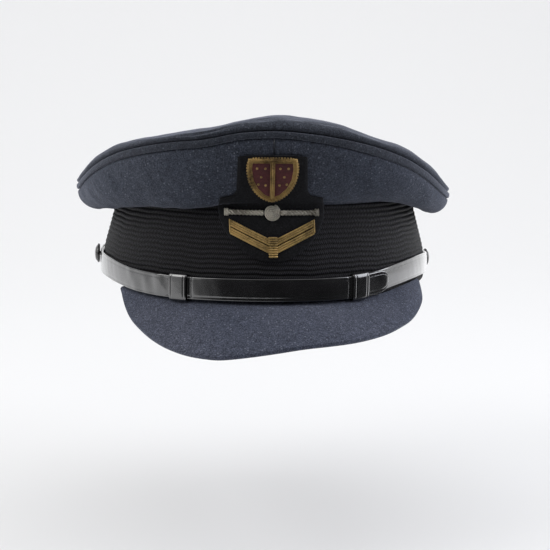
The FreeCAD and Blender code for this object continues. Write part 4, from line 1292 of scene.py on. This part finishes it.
def badge_bar():
    """Silver: three-strand rope each side of a spiral rosette, with a square end piece."""
    rope = Batch()
    x = np.linspace(4.3, 23.0, 220)
    taper = np.clip((23.1 - x) / 0.8, 0.55, 1)
    for side in (1, -1):
        for strand in range(3):
            wind = (x - x[0]) * 2 * math.pi / 5.4 * side + strand * 2 * math.pi / 3
            off = 2.15 + 0.34 * taper + 0.40 * taper * np.sin(wind)
            rope.cord(badge_pt(side * x, BAR_Z + 0.86 * taper * np.cos(wind), off), 0.66, sides=9)
    rope.finish("badge_rope_bar_bullion", "silver_bullion", SILVER, "badge_rope_bar")

    rosette = Batch()
    t = np.linspace(0, 1, 700)
    wind = t * 2 * math.pi * 4.2
    radius = 0.25 + 3.75 * t
    rosette.cord(badge_pt(radius * np.cos(wind), BAR_Z + radius * np.sin(wind),
                          2.2 + 1.15 * (1 - t ** 1.8)), 0.50, sides=9)
    rosette.ball(badge_pt(0.0, BAR_Z, 3.35), 0.75, seg=14, rings=8, squash=0.7)
    rosette.finish("badge_rosette_bullion", "silver_bullion", SILVER, "badge_rosette")

    ends = Batch()
    z = np.linspace(42.1, 45.9, 24)
    off = 2.2 + 0.75 * np.sqrt(np.clip(1 - ((z - BAR_Z) / 2.1) ** 2, 0, 1))
    for side in (1, -1):
        for i in range(3):
            ends.cord(badge_pt(side * (21.7 + 0.75 * i), z, off), 0.42)
    ends.finish("badge_rope_bar_ends", "silver_bullion", SILVER)


def badge_chevron():
    """Gold: two stripes of three straight cords each side, square ends, tied in the middle."""
    chevron = Batch()
    x = np.linspace(0.6, 20.9, 120)
    slope = (33.5 - 24.17) / 19.1
    for side in (1, -1):
        for i in range(6):
            lift = 0.62 + 1.16 * i + (0.46 if i > 2 else 0.0)
            chevron.cord(badge_pt(side * x, 24.17 + (x - 2.4) * slope + lift, 2.28), 0.60,
                         pitch=0.55, depth=0.26, sides=9)
        for off in (2.55, 2.65):
            chevron.cord(badge_pt(side * 20.9, np.linspace(33.9, 40.6, 40), off), 0.42)
    chevron.finish("badge_chevron_bullion", "gold_bullion", GOLD, "badge_chevron")
    tie = Batch()
    x = np.linspace(-2.2, 2.2, 30)
    for i in range(9):
        off = 2.25 + 0.95 * np.sqrt(np.clip(1 - (x / 2.3) ** 2, 0, 1))
        tie.cord(badge_pt(x, 22.6 + i * 1.15, off), 0.56)
    tie.finish("badge_tie_bullion", "gold_bullion", GOLD, "badge_tie")


# ---------------------------------------------------------------- build the pieces
crown_top()
quarter("quarter_front_right", -89.985, SEAM_FRONT - 0.01, seed=41)
quarter("quarter_front_left", SEAM_FRONT + 0.01, 89.985, seed=42)
quarter("quarter_rear_left", 90.005, 179.99, seed=43)
quarter("quarter_rear_right", -179.99, -90.005, seed=44)
welt()
lining_side()
lining_top()
sweat_shield()
braid()
foundation()
sweatband()
reed()
bow()
forehead_pad()
peak_cover()
peak_underside()
strap("chinstrap_outer", -97.0, 39.0, OUTER_OFF, STRAP_W, rounding=(3.0, 6.0), lumps=outer_lumps)
strap("chinstrap_inner", -42.0, 99.5, INNER_OFF, STRAP_W * 0.98, rounding=(5.5, 3.0))
keeper("keeper_right", 25.0, 30.6, "chinstrap_outer_half")
keeper("keeper_left", -33.9, -28.0, "chinstrap_inner_half")
button(-1, "right_button", face=2.8)
button(1, "left_button", face=3.4)
badge_cloth("badge_patch_felt", "badge_patch", FELT, off=1.72, thick=0.75)
badge_cloth("badge_backing_buckram", "badge_backing", BUCKRAM, off=0.70, thick=0.3,
            scale=0.94, narrow=0.93)
badge_shield()
badge_velvet()
badge_bar()
badge_chevron()

# CAD pieces kept as they are: (node, slot, material)
KEPT = [("grommet_wire", "steel_wire", STEEL), ("grommet_ferrule", "button_metal", BUTTON_METAL),
        ("front_stay", "spring_plastic", PLASTIC), ("peak_board", "board", FOAM)]
for side in ("left", "right"):
    for part in ("button_back", "button_shank", "split_pin"):
        KEPT.append((f"{side}_{part}", "button_metal", BUTTON_METAL))
    KEPT.append((side + "_eyelet", "button_metal", BUTTON_BLACK))
for node, slot, material in KEPT:
    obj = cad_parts[node]
    obj.data.materials.clear()
    obj.data.materials.append(material)

# ---------------------------------------------------------------- floor and world
FLOOR_Z, FLOOR_HALF_X = -135.0, 3500
SWEEP_START, SWEEP_R = 900, 900         # where the floor starts to curve up, and its radius
STUDIO_TINT = (0.985, 0.99, 1.0, 1)
FRONT_DIM = 0.03                        # world level towards the camera side


def sweep():
    """Floor that curves up into a back wall."""
    profile = [(-420, 0), (0, 0), (SWEEP_START, 0)]
    for i in range(1, 25):
        turn = math.pi / 2 * i / 24
        profile.append((SWEEP_START + SWEEP_R * math.sin(turn), SWEEP_R * (1 - math.cos(turn))))
    profile.append((1800, 3200))
    verts = [(x, y, FLOOR_Z + z) for x in (-FLOOR_HALF_X, FLOOR_HALF_X) for y, z in profile]
    count = len(profile)
    faces = [(j, count + j, count + j + 1, j + 1) for j in range(count - 1)]
    floor = mesh_obj("floor", verts, faces)
    floor.data.materials.append(floor_material())


def floor_material():
    """Softly glowing floor, with a dark flag and pale cards seen only in reflections."""
    shader = new_material("floor")
    x, y, _ = shader.xyz(shader.coords["Object"])
    glossy = shader.node("ShaderNodeLightPath").outputs["Is Glossy Ray"]
    # the flag lies at the front, on the +X side
    flag = shader.mul(shader.remap(x, source=(0.0, 0.09), target=(0.0, 1.0)),
                      shader.remap(y, source=(-0.17, -0.13), target=(1.0, 0.0)))
    flag = shader.mul(flag, glossy)
    # the cards lie further out each side, the +X one brighter
    cards = shader.add(shader.remap(x, source=(0.25, 0.50), target=(0.0, 0.42)),
                       shader.remap(x, source=(-0.50, -0.25), target=(0.12, 0.0)))
    glow = shader.add(shader.remap(y, source=(0.0, 1.8), target=(0.26, 0.50)),
                      shader.mul(cards, glossy))
    return shader.surface({
        "Base Color": shader.mix(flag, (0.55, 0.55, 0.555), (0.02, 0.02, 0.02)),
        "Emission Color": STUDIO_TINT,
        "Emission Strength": shader.mul(glow, shader.math("SUBTRACT", 1.0, flag)),
        "Roughness": 0.9,
        "Specular IOR Level": 0.1})


def studio_world():
    """Dark towards the front, bright behind and above; the camera sees an even tone."""
    world = bpy.data.worlds.new("studio")
    scene.world = world
    shader = Shader(world)
    x, y, z = shader.xyz(shader.coords["Generated"])
    # on the +X side the dark part begins further back
    minus_x_side = shader.remap(shader.mul(y, -1.0), source=(0.30, 0.80), target=(1.0, FRONT_DIM))
    plus_x_side = shader.remap(shader.mul(y, -1.0), source=(-0.04, 0.20), target=(1.5, FRONT_DIM))
    above = shader.remap(z, source=(0.2, 0.8), target=(0.0, 1.0))
    side = shader.remap(x, source=(-0.1, 0.15), target=(0.0, 1.0))
    level = shader.math("MAXIMUM", shader.switch(side, minus_x_side, plus_x_side),
                        shader.mul(above, 0.9))
    seen = shader.node("ShaderNodeLightPath").outputs["Is Camera Ray"]
    shader.put(shader.tree.nodes["Background"], {
        "Strength": shader.switch(seen, shader.mul(level, 0.75), 0.885),
        "Color": STUDIO_TINT})


# ---------------------------------------------------------------- lights and camera (metres)
def area_light(name, place, target, width, height, energy, colour=(1, 1, 1)):
    light = bpy.data.lights.new(name, "AREA")
    light.shape = "RECTANGLE"
    light.size, light.size_y = width, height
    light.energy = energy
    light.color = colour
    obj = link(bpy.data.objects.new(name, light))
    obj.location = place
    aim = Vector(target) - Vector(place)
    obj.rotation_euler = aim.to_track_quat("-Z", "Y").to_euler()


def add_camera(distance, height, azimuth, pitch, roll, yaw, lens):
    """Camera on a circle round the Z axis; angles in degrees, lens in mm."""
    azimuth, pitch, roll, yaw = map(math.radians, (azimuth, pitch, roll, yaw))
    ahead = Vector((-math.sin(azimuth), math.cos(azimuth), 0))
    right = Vector((math.cos(azimuth), math.sin(azimuth), 0))
    level = ahead * math.cos(yaw) + right * math.sin(yaw)
    right = right * math.cos(yaw) - ahead * math.sin(yaw)
    view = level * math.cos(pitch) - Vector((0, 0, 1)) * math.sin(pitch)
    up = right.cross(view)
    rolled_right = right * math.cos(roll) + up * math.sin(roll)
    rolled_up = up * math.cos(roll) - right * math.sin(roll)
    data = bpy.data.cameras.new("camera")
    data.lens, data.sensor_width = lens, 36.0
    data.clip_start, data.clip_end = 0.01, 50
    camera = link(bpy.data.objects.new("camera", data))
    matrix = Matrix((rolled_right, rolled_up, -view)).transposed().to_4x4()
    matrix.translation = (distance * math.sin(azimuth), -distance * math.cos(azimuth), height)
    camera.matrix_world = matrix
    scene.camera = camera


scene = bpy.context.scene
sweep()
studio_world()
area_light("key_left", (-0.95, -0.35, 0.75), target=(0, 0, 0.03), width=0.7, height=0.9,
           energy=6.2, colour=(1, 0.99, 0.97))
area_light("fill_right", (1.05, -0.25, 0.55), target=(0, 0, 0.03), width=0.7, height=0.9,
           energy=7.8, colour=(0.91, 0.93, 1.0))
area_light("top", (0, 0.15, 1.3), target=(0, 0, 0.05), width=1.0, height=1.0, energy=5.0)
add_camera(distance=0.75, height=0.11, azimuth=-3.4, pitch=8.47, roll=0.7, yaw=0.505919,
           lens=86.727273)
scene.view_settings.view_transform = "Standard"
scene.view_settings.look = "None"

bpy.context.view_layer.update()
